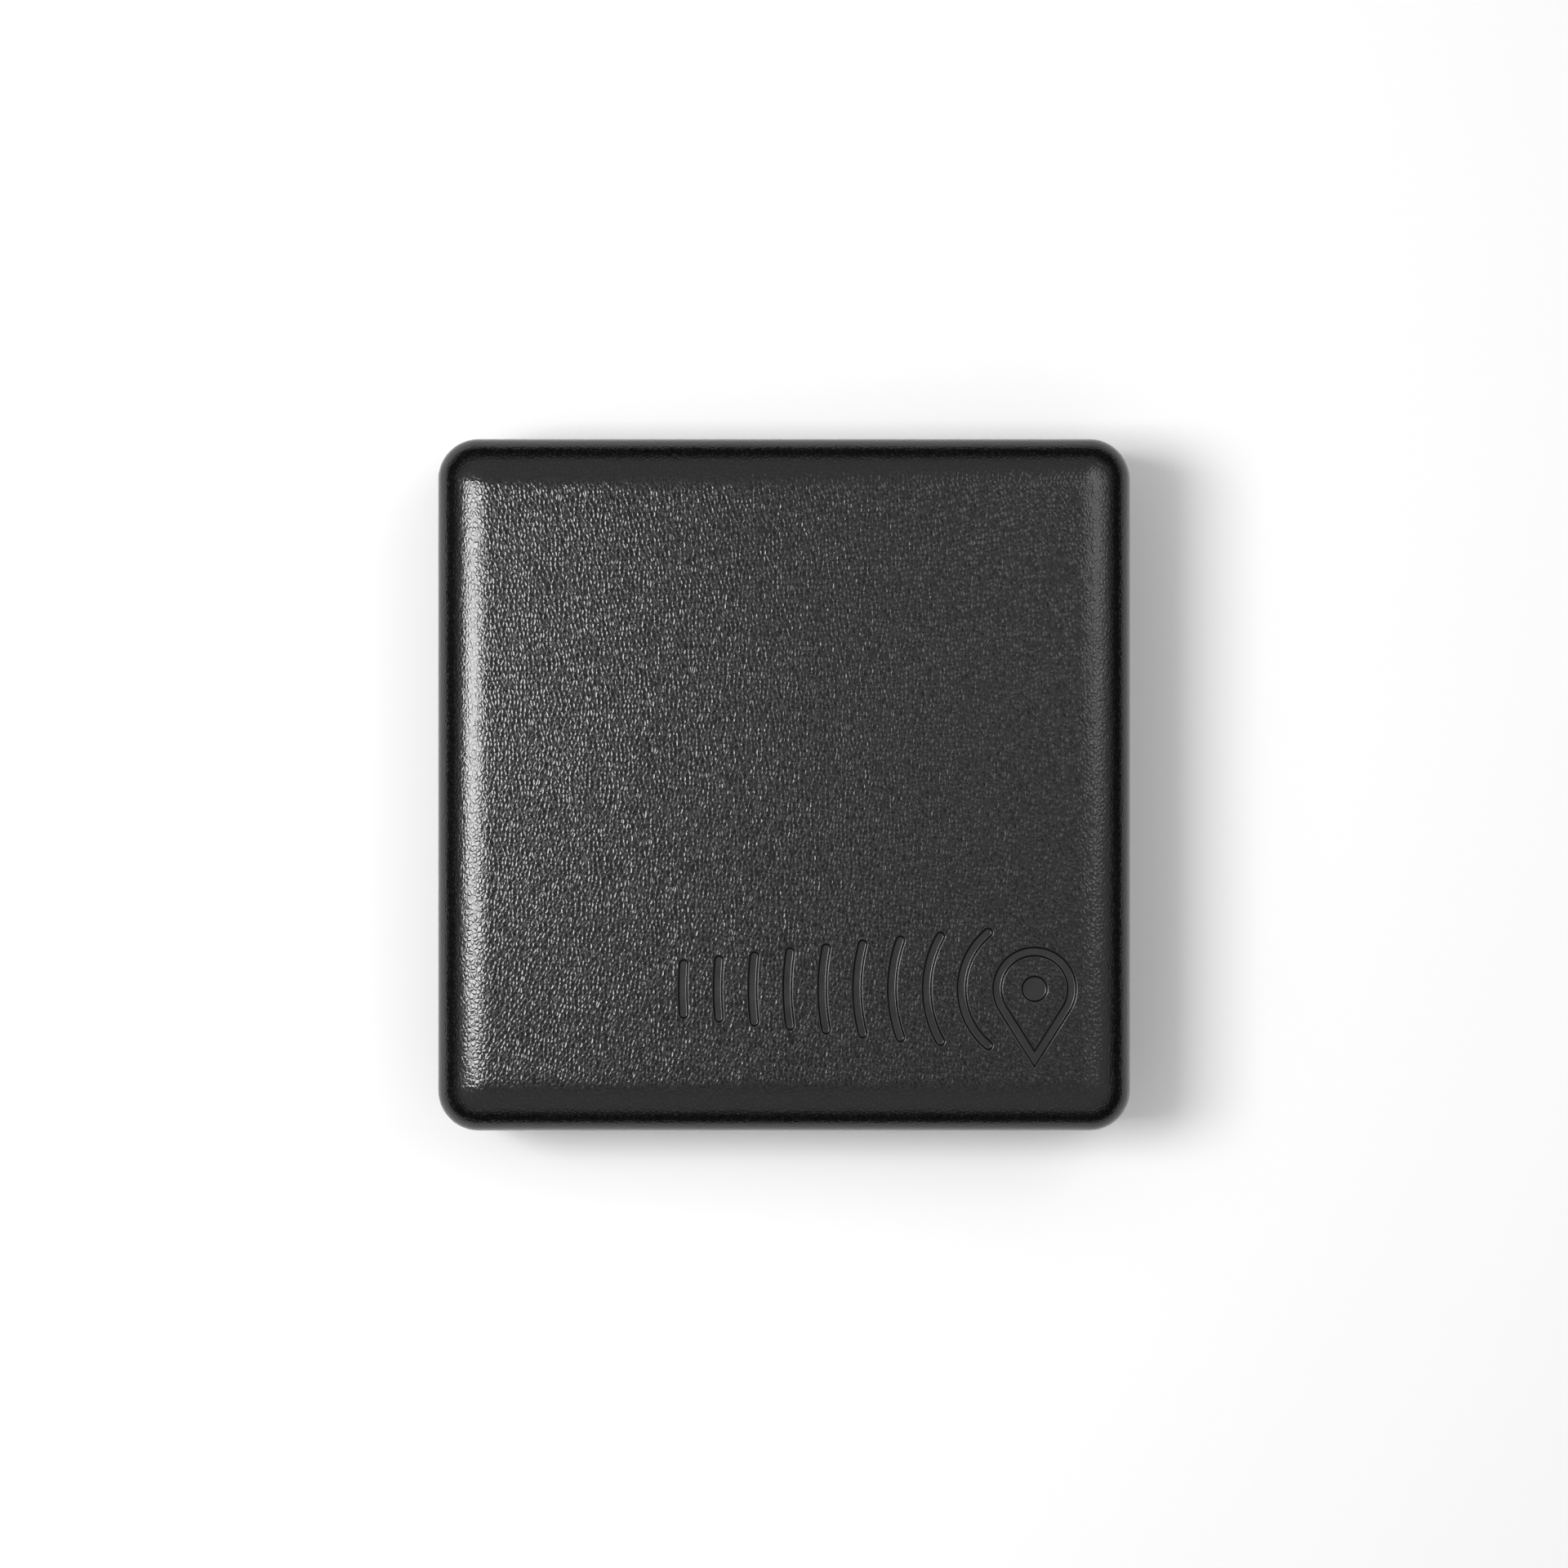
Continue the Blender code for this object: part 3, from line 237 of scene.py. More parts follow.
class Nodes:
    """One material's node tree. Each method adds a node and returns its output."""

    def __init__(self, name):
        self.material = bpy.data.materials.new(name)
        self.material.use_nodes = True
        self.tree = self.material.node_tree
        self.shader = self.tree.nodes["Principled BSDF"]
        self.place = self.add("ShaderNodeTexCoord").outputs["Object"]

    def add(self, kind, inputs=None, **settings):
        node = self.tree.nodes.new(kind)
        for key, value in settings.items():
            setattr(node, key, value)
        for key, value in (inputs or {}).items():
            self.set(node.inputs[key], value)
        return node

    def set(self, socket, value):
        if isinstance(value, bpy.types.NodeSocket):
            self.tree.links.new(value, socket)
        else:
            socket.default_value = value

    def math(self, operation, a, b=0.0):
        return self.add("ShaderNodeMath", {0: a, 1: b}, operation=operation).outputs[0]

    def stretched(self, scale):
        return self.add("ShaderNodeMapping", {"Vector": self.place, "Scale": scale}).outputs["Vector"]

    def noise(self, scale, detail=2.0, roughness=0.5, where=None):
        inputs = {"Vector": where or self.place, "Scale": scale, "Detail": detail, "Roughness": roughness}
        return self.add("ShaderNodeTexNoise", inputs).outputs["Fac"]

    def cells(self, scale, feature="F1", where=None):
        inputs = {"Vector": where or self.place, "Scale": scale}
        return self.add("ShaderNodeTexVoronoi", inputs, feature=feature).outputs["Distance"]

    def ramp(self, value, low, high, out_low=0.0, out_high=1.0):
        inputs = {"Value": value, "From Min": low, "From Max": high, "To Min": out_low, "To Max": out_high}
        return self.add("ShaderNodeMapRange", inputs).outputs["Result"]

    def spread(self, noise, low=0.0, high=1.0):
        """Stretches a noise's usual range to low and high."""
        return self.ramp(noise, *NOISE_RANGE, low, high)

    def blend(self, share, colour_a, colour_b):
        inputs = {0: share, 6: (*colour_a, 1), 7: (*colour_b, 1)}
        return self.add("ShaderNodeMix", inputs, data_type="RGBA").outputs[2]

    def varied(self, share, colour, amount):
        darker = tuple(c * (1 - amount) for c in colour)
        lighter = tuple(c * (1 + amount) for c in colour)
        return self.blend(share, darker, lighter)

    def bump(self, height, distance):
        return self.add("ShaderNodeBump", {"Height": height, "Distance": distance}).outputs["Normal"]

    def finish(self, **sockets):
        names = {s.name.lower().replace(" ", "_"): s for s in self.shader.inputs}
        for key, value in sockets.items():
            self.set(names[key], value)
        return self.material


def grained_plastic():
    """Moulded black plastic with a fine leather-like grain, slightly longer along Y."""
    n = Nodes("grained_black_plastic")
    upright = n.stretched(GRAIN_UPRIGHT)
    proud = n.ramp(n.cells(1 / GRAIN_PITCH, "DISTANCE_TO_EDGE", upright), 0.0, GRAIN_VALLEY)
    folds = n.math("MULTIPLY", n.noise(FOLD_SCALE, 1.0, 0.4, upright), FOLD_SHARE)
    height = n.math("ADD", folds, n.math("MULTIPLY", proud, PEBBLE_SHARE))
    along = n.add("ShaderNodeSeparateXYZ", {"Vector": n.place}).outputs
    reach = n.math("MAXIMUM", n.math("ABSOLUTE", along["X"]), n.math("ABSOLUTE", along["Y"]))
    height = n.math("MULTIPLY", height, n.ramp(reach, *GRAIN_FADE, 1.0, GRAIN_ON_SIDES))
    # The base colour holds painted shade in the grain's hollows and painted light on its pebbles.
    hollow_painted_shade = tuple(c * HOLLOW_SHADE_SHARE for c in SHELL_COLOUR)
    pebble_painted_light = tuple(c * (2 - HOLLOW_SHADE_SHARE) for c in SHELL_COLOUR)
    return n.finish(
        base_color=n.blend(proud, hollow_painted_shade, pebble_painted_light),
        roughness=n.ramp(proud, 0, 1, *SHELL_ROUGHNESS),
        normal=n.bump(height, GRAIN_HEIGHT),
    )


def smooth_plastic(name, colour, roughness):
    """Moulded plastic with only the faint unevenness of a polished tool."""
    n = Nodes(name)
    return n.finish(
        base_color=n.varied(n.spread(n.noise(300)), colour, 0.1),
        roughness=n.spread(n.noise(900, 3.0), *roughness),
        normal=n.bump(n.noise(2500, 3.0), 0.001 * MM),
    )


def textured_plastic(name, colour, pitch, depth, roughness):
    """The fine even texture that spark erosion leaves in a mould."""
    n = Nodes(name)
    fine = n.noise(1 / pitch, 4.0, 0.65)
    return n.finish(
        base_color=n.varied(n.spread(n.noise(200)), colour, 0.12),
        roughness=n.spread(fine, *roughness),
        normal=n.bump(fine, depth),
    )


def rubber(name, colour, roughness):
    n = Nodes(name)
    return n.finish(
        base_color=n.varied(n.spread(n.noise(260, 3.0)), colour, 0.1),
        roughness=n.spread(n.noise(500), roughness - 0.06, roughness + 0.06),
        normal=n.bump(n.noise(6000, 3.0), 0.003 * MM),
        sheen_weight=0.08,
    )


def worked_metal(name, colour, roughness):
    """Metal with fine draw lines across one direction, and slow changes in its shine."""
    n = Nodes(name)
    streaks = n.noise(9000, 3.0, 0.6, n.stretched((1.0, 0.04, 1.0)))
    smudges = n.spread(n.noise(180, 3.0))
    shine = n.ramp(smudges, 0, 1, roughness - 0.05, roughness + 0.05)
    return n.finish(
        base_color=n.varied(smudges, colour, 0.06),
        roughness=n.math("ADD", shine, n.spread(streaks, 0.0, 0.12)),
        metallic=1.0,
        normal=n.bump(streaks, 0.0012 * MM),
    )


def board_laminate():
    """Green solder resist over a glass weave, with the tracks under it as faint raised lines."""
    n = Nodes("board_laminate")
    bricks = {"Vector": n.place, "Scale": 420.0, "Mortar Size": 0.03}
    tracks = n.add("ShaderNodeTexBrick", bricks).outputs["Fac"]
    weave = n.noise(2600, 2.0, 0.5, n.stretched((1.0, 0.15, 1.0)))
    height = n.math("ADD", tracks, n.math("MULTIPLY", weave, 0.2))
    return n.finish(
        base_color=n.blend(n.ramp(height, 0.0, 1.1), (0.006, 0.045, 0.028), (0.012, 0.085, 0.05)),
        roughness=n.spread(weave, 0.28, 0.4),
        normal=n.bump(height, 0.012 * MM),
    )


def fired_ceramic(name, colour, roughness):
    n = Nodes(name)
    fine = n.noise(5200, 3.0)
    return n.finish(
        base_color=n.varied(n.ramp(n.cells(3200), 0.1, 0.6), colour, 0.12),
        roughness=n.spread(fine, roughness - 0.06, roughness + 0.06),
        normal=n.bump(fine, 0.002 * MM),
    )


def clear_plastic():
    n = Nodes("clear_plastic")
    return n.finish(
        base_color=n.blend(n.noise(200), (0.86, 0.88, 0.9), (0.94, 0.95, 0.96)),
        roughness=n.spread(n.noise(700), 0.08, 0.16),
        transmission_weight=0.85,
        ior=1.49,
    )


def foam_tape():
    n = Nodes("adhesive_foam")
    # The pores are the bump's pits, and the base colour is painted darker in them as painted shade.
    pores = n.ramp(n.cells(4200), 0.1, 0.7)
    return n.finish(
        base_color=n.blend(pores, (0.03, 0.03, 0.03), (0.1, 0.1, 0.1)),
        roughness=n.ramp(pores, 0, 1, 0.95, 0.8),
        normal=n.bump(pores, 0.02 * MM),
    )


DOOR_TEXTURE = (0.11 * MM, 0.006 * MM, (0.42, 0.52))  # pitch, depth, roughness
CHIP_TEXTURE = (0.06 * MM, 0.004 * MM, (0.45, 0.6))
SWITCH_TEXTURE = (0.08 * MM, 0.002 * MM, (0.4, 0.5))
MATERIALS = {
    "black_plastic": grained_plastic(),
    "smooth_plastic": smooth_plastic("smooth_black_plastic", SHELL_COLOUR, (0.26, 0.34)),
    "door_plastic": textured_plastic("door_plastic", (0.011, 0.011, 0.0115), *DOOR_TEXTURE),
    "button_rubber": rubber("button_rubber", (0.014, 0.014, 0.0145), 0.62),
    "seal_silicone": rubber("seal_silicone", (0.4, 0.045, 0.025), 0.45),
    "cell_steel": worked_metal("cell_steel", (0.62, 0.61, 0.58), 0.3),
    "cell_gasket_nylon": smooth_plastic("cell_gasket_nylon", (0.3, 0.3, 0.3), (0.4, 0.5)),
    "black_screw_steel": worked_metal("black_screw_steel", (0.06, 0.06, 0.065), 0.38),
    "gold_plated_contact": worked_metal("gold_plated_contact", (0.8, 0.58, 0.25), 0.24),
    "board_laminate": board_laminate(),
    "chip_epoxy": textured_plastic("chip_epoxy", (0.02, 0.02, 0.022), *CHIP_TEXTURE),
    "crystal_steel": worked_metal("crystal_steel", (0.66, 0.65, 0.62), 0.28),
    "capacitor_ceramic": fired_ceramic("capacitor_ceramic", (0.4, 0.28, 0.17), 0.5),
    "antenna_ceramic": fired_ceramic("antenna_ceramic", (0.74, 0.73, 0.7), 0.45),
    "white_plastic": textured_plastic("white_plastic", (0.72, 0.72, 0.7), *SWITCH_TEXTURE),
    "clear_plastic": clear_plastic(),
    "sounder_brass": worked_metal("sounder_brass", (0.7, 0.5, 0.22), 0.3),
    "piezo_ceramic": fired_ceramic("piezo_ceramic", (0.76, 0.74, 0.68), 0.42),
    "adhesive_foam": foam_tape(),
}


def dress_cad_nodes():
    for entry in frame["record"]["subparts"]:
        mesh = frame["nodes"][entry["node"]].data
        mesh.materials.clear()
        mesh.materials.append(MATERIALS[entry["material_slot"]])


# ---- Mesh building ----


def arc(centre, radius, start, end, steps):
    """Points from start to end, in degrees anticlockwise, both ends included."""
    angles = [math.radians(start + (end - start) * i / steps) for i in range(steps + 1)]
    return [(centre[0] + radius * math.cos(a), centre[1] + radius * math.sin(a)) for a in angles]


def circle(centre, radius, steps):
    """Points round a circle, half a step off the axes, so that none lies on the end of a thread."""
    half = 180 / steps
    return arc(centre, radius, half, 360 - half, steps - 1)


def rounded_box(half_x, half_y, radius, steps=CORNER_STEPS):
    """Outline of a rectangle with round corners, anticlockwise."""
    x, y = half_x - radius, half_y - radius
    corners = [(x, y), (-x, y), (-x, -y), (x, -y)]
    return [p for i, c in enumerate(corners) for p in arc(c, radius, 90 * i, 90 * i + 90, steps)]


def raised(outline, z):
    return [(x, y, z) for x, y in outline]


def loft(bm, rings, material=0, capped=False, closed=False):
    """Joins rings of equal count. Points that coincide are welded when the mesh is made."""
    made = [[bm.verts.new(p) for p in ring] for ring in rings]
    pairs = list(zip(made, made[1:]))
    if closed:
        pairs.append((made[-1], made[0]))
    for low, high in pairs:
        for i, v in enumerate(low):
            j = (i + 1) % len(low)
            bm.faces.new((v, low[j], high[j], high[i])).material_index = material
    if capped:
        bm.faces.new(made[0])
        bm.faces.new(made[-1])


def fill(bm, outlines, z, material=0):
    """A flat face at height z inside the outer outline, with the outlines nested in it taken out in turn."""
    data = bpy.data.curves.new("fill", "CURVE")
    data.dimensions = "2D"
    data.fill_mode = "BOTH"
    for outline in outlines:
        spline = data.splines.new("POLY")
        spline.points.add(len(outline) - 1)
        for point, (x, y) in zip(spline.points, outline):
            point.co = (x / MM, y / MM, 0, 1)
        spline.use_cyclic_u = True
    curve = bpy.data.objects.new("fill", data)
    mesh = bpy.data.meshes.new_from_object(curve)
    made = [bm.verts.new((v.co.x * MM, v.co.y * MM, z)) for v in mesh.vertices]
    for polygon in mesh.polygons:
        bm.faces.new([made[i] for i in polygon.vertices]).material_index = material
    bpy.data.objects.remove(curve)
    bpy.data.meshes.remove(mesh)


def turned(bm, profile, centre=(0, 0), steps=TURNED_STEPS, closed=False):
    """A profile of (radius, height) points turned about Z. A point on the axis closes that end."""
    loft(bm, [raised(circle(centre, r, steps), z) for r, z in profile], closed=closed)


def round_edge(width, height, steps=EDGE_STEPS):
    """Steps round an edge from a flat face to a wall: (distance from the wall, distance from the face).
    width is the edge's size along the face, and height its size along the wall."""
    angles = [math.radians(90 * i / steps) for i in range(steps + 1)]
    return [(width * (1 - math.sin(a)), height * (1 - math.cos(a))) for a in angles]


def round_end(radius):
    return round_edge(radius, radius)


def mouth(start, floor, edge=SMALL_EDGE, corner=SMALL_EDGE):
    """(margin, level) steps down a recess, from outside its round edge at start to its floor's corner."""
    way = 1 if floor > start else -1
    outside = [(edge, start - way * MM)]
    lip = [(grow, start + way * depth) for grow, depth in round_end(edge)]
    bottom = [(-depth, floor - way * grow) for grow, depth in round_end(corner)]
    return outside + lip + bottom


def make(name, bm, *materials):
    bmesh.ops.remove_doubles(bm, verts=bm.verts, dist=WELD)
    bmesh.ops.dissolve_degenerate(bm, edges=bm.edges, dist=WELD / 10)
    bmesh.ops.recalc_face_normals(bm, faces=bm.faces)
    mesh = bpy.data.meshes.new(name)
    bm.to_mesh(mesh)
    bm.free()
    for key in materials:
        mesh.materials.append(MATERIALS[key])
    obj = bpy.data.objects.new(name, mesh)
    bpy.context.scene.collection.objects.link(obj)
    return obj


def apply_modifiers(obj):
    bpy.context.view_layer.update()
    graph = bpy.context.evaluated_depsgraph_get()
    old = obj.data
    obj.data = bpy.data.meshes.new_from_object(obj.evaluated_get(graph), depsgraph=graph)
    obj.modifiers.clear()
    bpy.data.meshes.remove(old)


def boolean(obj, operation, tools):
    """Cuts or joins each tool with obj, keeps the result as obj's own mesh, and removes the tools."""
    for tool in tools:
        modifier = obj.modifiers.new("tool", "BOOLEAN")
        modifier.operation = operation
        modifier.object = tool
        modifier.solver = "EXACT"
    apply_modifiers(obj)
    for tool in tools:
        bpy.data.objects.remove(tool)


def level_flats(mesh):
    """Gives the corners round a flat face its normal, so that small round edges don't shade into it."""
    flats = {}
    for face in mesh.polygons:
        level = abs(face.normal.z) > SQUARE_ON
        upright = max(abs(face.normal.x), abs(face.normal.y)) > SQUARE_ON and face.area > LARGE_FACE
        if level or upright:
            for vertex in face.vertices:
                flats.setdefault(vertex, []).append(face.normal.copy())
    normals = [corner.vector.copy() for corner in mesh.corner_normals]
    for face in mesh.polygons:
        for corner, vertex in zip(face.loop_indices, face.vertices):
            for normal in flats.get(vertex, ()):
                if face.normal.angle(normal) < SHARP_ANGLE:
                    normals[corner] = normal
    mesh.normals_split_custom_set(normals)


def finished(obj, body, node):
    """Shades the piece smoothly between its sharp edges and flat faces, and puts it in its node's place."""
    obj.data.shade_smooth()
    obj.data.set_sharp_from_angle(angle=SHARP_ANGLE)
    level_flats(obj.data)
    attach(obj, body)
    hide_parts(node)


# ---- The sunk mark ----


def pin_outline(grow):
    """The map pin's drop shape, a round head whose sides run straight to a point, grown by a margin."""
    radius = PIN_HEAD + grow
    reach = (PIN_HEIGHT - PIN_HEAD) * radius / PIN_HEAD
    tangent = math.degrees(math.asin(radius / reach))
    head = arc(PIN_CENTRE, radius, -tangent, 180 + tangent, PIN_STEPS)
    return [*head, (PIN_CENTRE[0], PIN_CENTRE[1] - reach)]


def wave_outline(index, grow):
    """A round-ended arc about the pin's head, open towards it, grown by a margin."""
    near, far = WAVE_HALF_HEIGHTS
    radius = WAVE_FIRST + index * WAVE_PITCH
    height = near + (far - near) * index / (WAVE_COUNT - 1)
    half_angle = math.degrees(math.asin(height / radius))
    start, end = 180 - half_angle, 180 + half_angle
    cap = MARK_STROKE / 2 + grow
    high_end, low_end = arc(PIN_CENTRE, radius, start, end, 1)
    return [
        *arc(PIN_CENTRE, radius + cap, start, end, WAVE_STEPS),
        *arc(low_end, cap, end, end + 180, WAVE_END_STEPS)[1:-1],
        *arc(PIN_CENTRE, radius - cap, end, start, WAVE_STEPS),
        *arc(high_end, cap, start + 180, start + 360, WAVE_END_STEPS)[1:-1],
    ]


def dot_outline(grow):
    return circle(PIN_CENTRE, PIN_DOT + grow, SMALL_TURNED_STEPS)


def pin_island_outline(grow):
    return pin_outline(grow - MARK_STROKE)


def sunk_wall(bm, outline, side):
    """The wall round a sunk stroke, from a round edge on the face to a round corner on the floor.
    side is 1 where the stroke lies inside the outline, and -1 where it lies outside."""
    rings = []
    for grow, z in mouth(TOP, TOP - MARK_DEPTH, MARK_EDGE, MARK_EDGE)[1:]:
        rings.append(raised(outline(side * grow), z))
    loft(bm, rings, material=1)


def mark(bm):
    """Adds the mark's walls and floors, and returns its outlines on the face."""
    strokes = [pin_outline, dot_outline]
    strokes += [functools.partial(wave_outline, i) for i in range(WAVE_COUNT)]
    for outline in strokes:
        sunk_wall(bm, outline, 1)
    sunk_wall(bm, pin_island_outline, -1)
    floor = TOP - MARK_DEPTH
    fill(bm, [pin_outline(-MARK_EDGE), pin_island_outline(MARK_EDGE)], floor, material=1)
    for outline in strokes[1:]:
        fill(bm, [outline(-MARK_EDGE)], floor, material=1)
    return [outline(MARK_EDGE) for outline in strokes] + [pin_island_outline(-MARK_EDGE)]


# ---- Shells ----


def square(half):
    return [(half, half), (-half, half), (-half, -half), (half, -half)]


def box_ring(half, radius, z):
    return raised(rounded_box(half, half, radius), z)


def outer_rings(flat, far, reach, drop):
    """Down the case's round edge from the flat face at flat, then along the side to the seam at far.
    reach and drop are the edge's sizes along the flat face and along the side."""
    way = 1 if far > flat else -1
    rings = []
    for i in range(CASE_EDGE_STEPS + 1):
        a = math.radians(90 * i / CASE_EDGE_STEPS)
        half = HALF - reach * (1 - math.sin(a))
        rings.append(box_ring(half, EDGE_RADIUS * math.sin(a), flat + way * drop * (1 - math.cos(a))))
    for inset, depth in reversed(round_end(SEAM_EDGE)):
        rings.append(box_ring(HALF - inset, EDGE_RADIUS - inset, far - way * depth))
    return rings


def stadium_rings(profile):
    """Round-ended outlines along the button's axis, one for each (margin, x)."""
    rings = []
    for grow, x in profile:
        half_y, half_z = BUTTON_HALF_WIDTH + grow, BUTTON_HALF_HEIGHT + grow
        outline = rounded_box(half_y, half_z, NEARLY_HALF * half_z)
        rings.append([(x, BUTTON_OFFSET + y, BUTTON_LEVEL + z) for y, z in outline])
    return rings


def disc_rings(profile, centre):
    """Circles along X about centre (y, z), one for each (radius, x)."""
    return [[(x, y, z) for y, z in circle(centre, r, SMALL_TURNED_STEPS)] for r, x in profile]


def turned_tool(name, profile, centre=(0, 0), steps=SMALL_TURNED_STEPS):
    bm = bmesh.new()
    turned(bm, profile, centre, steps)
    return make(name, bm)


def lofted_tool(name, rings):
    """A solid through rings, in triangles, because a Boolean needs flat faces and a thread's are twisted."""
    bm = bmesh.new()
    loft(bm, rings, capped=True)
    bmesh.ops.triangulate(bm, faces=bm.faces)
    return make(name, bm)


def at_each_screw(name, profile):
    places = [(x, y) for x in (-SCREW_AT, SCREW_AT) for y in (-SCREW_AT, SCREW_AT)]
    return [turned_tool(f"{name}_{i}", profile, at) for i, at in enumerate(places)]


def front_shell():
    bm = bmesh.new()
    inside = TOP - WALL
    rings = outer_rings(TOP, FRONT_LOW, EDGE_REACH, EDGE_DROP)
    rings.append(box_ring(WALL_INSIDE, CAVITY_RADIUS, FRONT_LOW))
    for inset, depth in reversed(round_end(CAVITY_RADIUS)):
        rings.append(box_ring(WALL_INSIDE - inset, CAVITY_RADIUS - inset, inside - depth))
    loft(bm, rings)
    fill(bm, [square(WALL_INSIDE - CAVITY_RADIUS)], inside)
    fill(bm, [square(HALF - EDGE_REACH), *mark(bm)], TOP)
    shell = make("front_shell", bm, "black_plastic", "smooth_plastic")
    low, root = FRONT_LOW, TOP - WALL / 2
    boss = [(0, low), (FRONT_BOSS - SMALL_EDGE, low), (FRONT_BOSS, low + SMALL_EDGE)]
    boss += [(FRONT_BOSS, root), (0, root)]
    boolean(shell, "UNION", at_each_screw("boss", boss))
    pilot = [(0, 0), (SHANK + SEAT_GAP, 0), (SHANK + SEAT_GAP, PILOT_TOP), (0, PILOT_TOP)]
    cutters = at_each_screw("pilot", pilot)
    opening = [(RUNNING_GAP + grow, x) for grow, x in mouth(HALF, WALL_INSIDE - MM)]
    cutters.append(lofted_tool("opening", stadium_rings(opening)))
    hole = [(PIPE_RADIUS + SEAT_GAP + grow, x) for grow, x in mouth(HALF, WALL_INSIDE - MM)]
    cutters.append(lofted_tool("pipe_hole", disc_rings(hole, PIPE_AT)))
    boolean(shell, "DIFFERENCE", cutters)
    finished(shell, "case", "front_cover")


def lip_rings():
    """From the rear cover's rim over its lip, with the seal's groove outside, to the inner floor."""
    low, high = SEAL_LEVEL - GROOVE_HEIGHT / 2, SEAL_LEVEL + GROOVE_HEIGHT / 2
    steps = [(LIP_OUTSIDE, REAR_HIGH), (LIP_OUTSIDE, low), (GROOVE_FLOOR, low), (GROOVE_FLOOR, high)]
    steps += [(LIP_OUTSIDE, high)]
    steps += [(LIP_OUTSIDE - inset, LIP_TOP - depth) for inset, depth in reversed(round_end(SMALL_EDGE))]
    steps += [(LIP_INSIDE + inset, LIP_TOP - depth) for inset, depth in round_end(SMALL_EDGE)]
    steps += [(LIP_INSIDE - inset, WALL + depth) for inset, depth in reversed(round_end(SMALL_EDGE))]
    return [box_ring(half, CAVITY_RADIUS, z) for half, z in steps]


def thread_tool(name, inner, outer, level, start):
    """One start of the door's thread, a round-edged bar up a helix, eased at both ends."""
    middle, half = (inner + outer) / 2, (outer - inner) / 2
    rings = []
    for i in range(THREAD_STEPS + 1):
        share = i / THREAD_STEPS
        end = min(share, 1 - share) * THREAD_STEPS
        inset = SMALL_EDGE * max(0.0, 1 - end) ** 2
        angle = math.radians(start + THREAD_ARC * share)
        z = level + THREAD_HEIGHT / 2 + THREAD_LEAD * THREAD_ARC / 360 * share
        outline = rounded_box(half - inset, THREAD_HEIGHT / 2 - inset, SMALL_EDGE, THREAD_CORNER_STEPS)
        across = [(middle + r, z + h) for r, h in outline]
        rings.append([(r * math.cos(angle), r * math.sin(angle), h) for r, h in across])
    return lofted_tool(name, rings)


def rear_shell():
    bm = bmesh.new()
    loft(bm, outer_rings(0, REAR_HIGH, EDGE_RADIUS, EDGE_RADIUS) + lip_rings())
    fill(bm, [square(HALF - EDGE_RADIUS)], 0)
    fill(bm, [rounded_box(LIP_INSIDE - SMALL_EDGE, LIP_INSIDE - SMALL_EDGE, CAVITY_RADIUS)], WALL)
    shell = make("rear_shell", bm, "black_plastic")
    boolean(shell, "UNION", rear_growths())
    boolean(shell, "DIFFERENCE", rear_cutters())
    inner, outer = BORE - THREAD_DEPTH, BORE + WALL / 2
    ribs = [thread_tool(f"rib_{start}", inner, outer, RIB_LEVEL, start) for start in THREAD_STARTS]
    boolean(shell, "UNION", ribs)
    finished(shell, "case", "rear_cover")


def standing(radius, top, *pin):
    """A post's profile, from inside the rear wall to a round-edged top, with a narrower pin if given."""
    edge = [(radius - inset, top - depth) for inset, depth in reversed(round_end(SMALL_EDGE))]
    if pin:
        return [(0, WALL / 2), (radius, WALL / 2), *edge, (pin[0], top), *standing(*pin)[2:]]
    return [(0, WALL / 2), (radius, WALL / 2), *edge, (0, top)]


def rear_growths():
    tools = [turned_tool("collar", standing(COLLAR, COLLAR_TOP), steps=TURNED_STEPS)]
    tools += at_each_screw("rear_boss", standing(REAR_BOSS, PARTING_HEIGHT))
    post = (POST_RADIUS, BOARD_LOW - SEAT_GAP)
    pin = (PIN_RADIUS, BOARD_HIGH + PIN_PROUD)
    for i, side in enumerate((POST_AT, -POST_AT)):
        tools.append(turned_tool(f"post_{i}", standing(*post), (side, 0)))
        tools.append(turned_tool(f"pin_post_{i}", standing(*post, *pin), (0, side)))
    return tools


def rear_cutters():
    """The recess and bore for the door, and the four screw holes."""
    past = COLLAR_TOP + MM
    edge_in = [(BORE + grow, RECESS_TOP + depth) for grow, depth in round_end(SMALL_EDGE)]
    edge_out = [(BORE + grow, COLLAR_TOP - depth) for grow, depth in reversed(round_end(SMALL_EDGE))]
    recess = [(RECESS + grow, z) for grow, z in mouth(0, RECESS_TOP)]
    profile = [(0, recess[0][1]), *recess, *edge_in, *edge_out, (BORE + SMALL_EDGE, past), (0, past)]
    tools = [turned_tool("bore", profile, steps=TURNED_STEPS)]
    seat = HEAD_TOP + SEAT_GAP
    head = [(COUNTERBORE + grow, z) for grow, z in mouth(0, seat)]
    profile = [(0, head[0][1]), *head, (SCREW_HOLE, seat), (SCREW_HOLE, past), (0, past)]
    return tools + at_each_screw("screw_hole", profile)


# ---- Door, ring, screws, button and light pipe ----


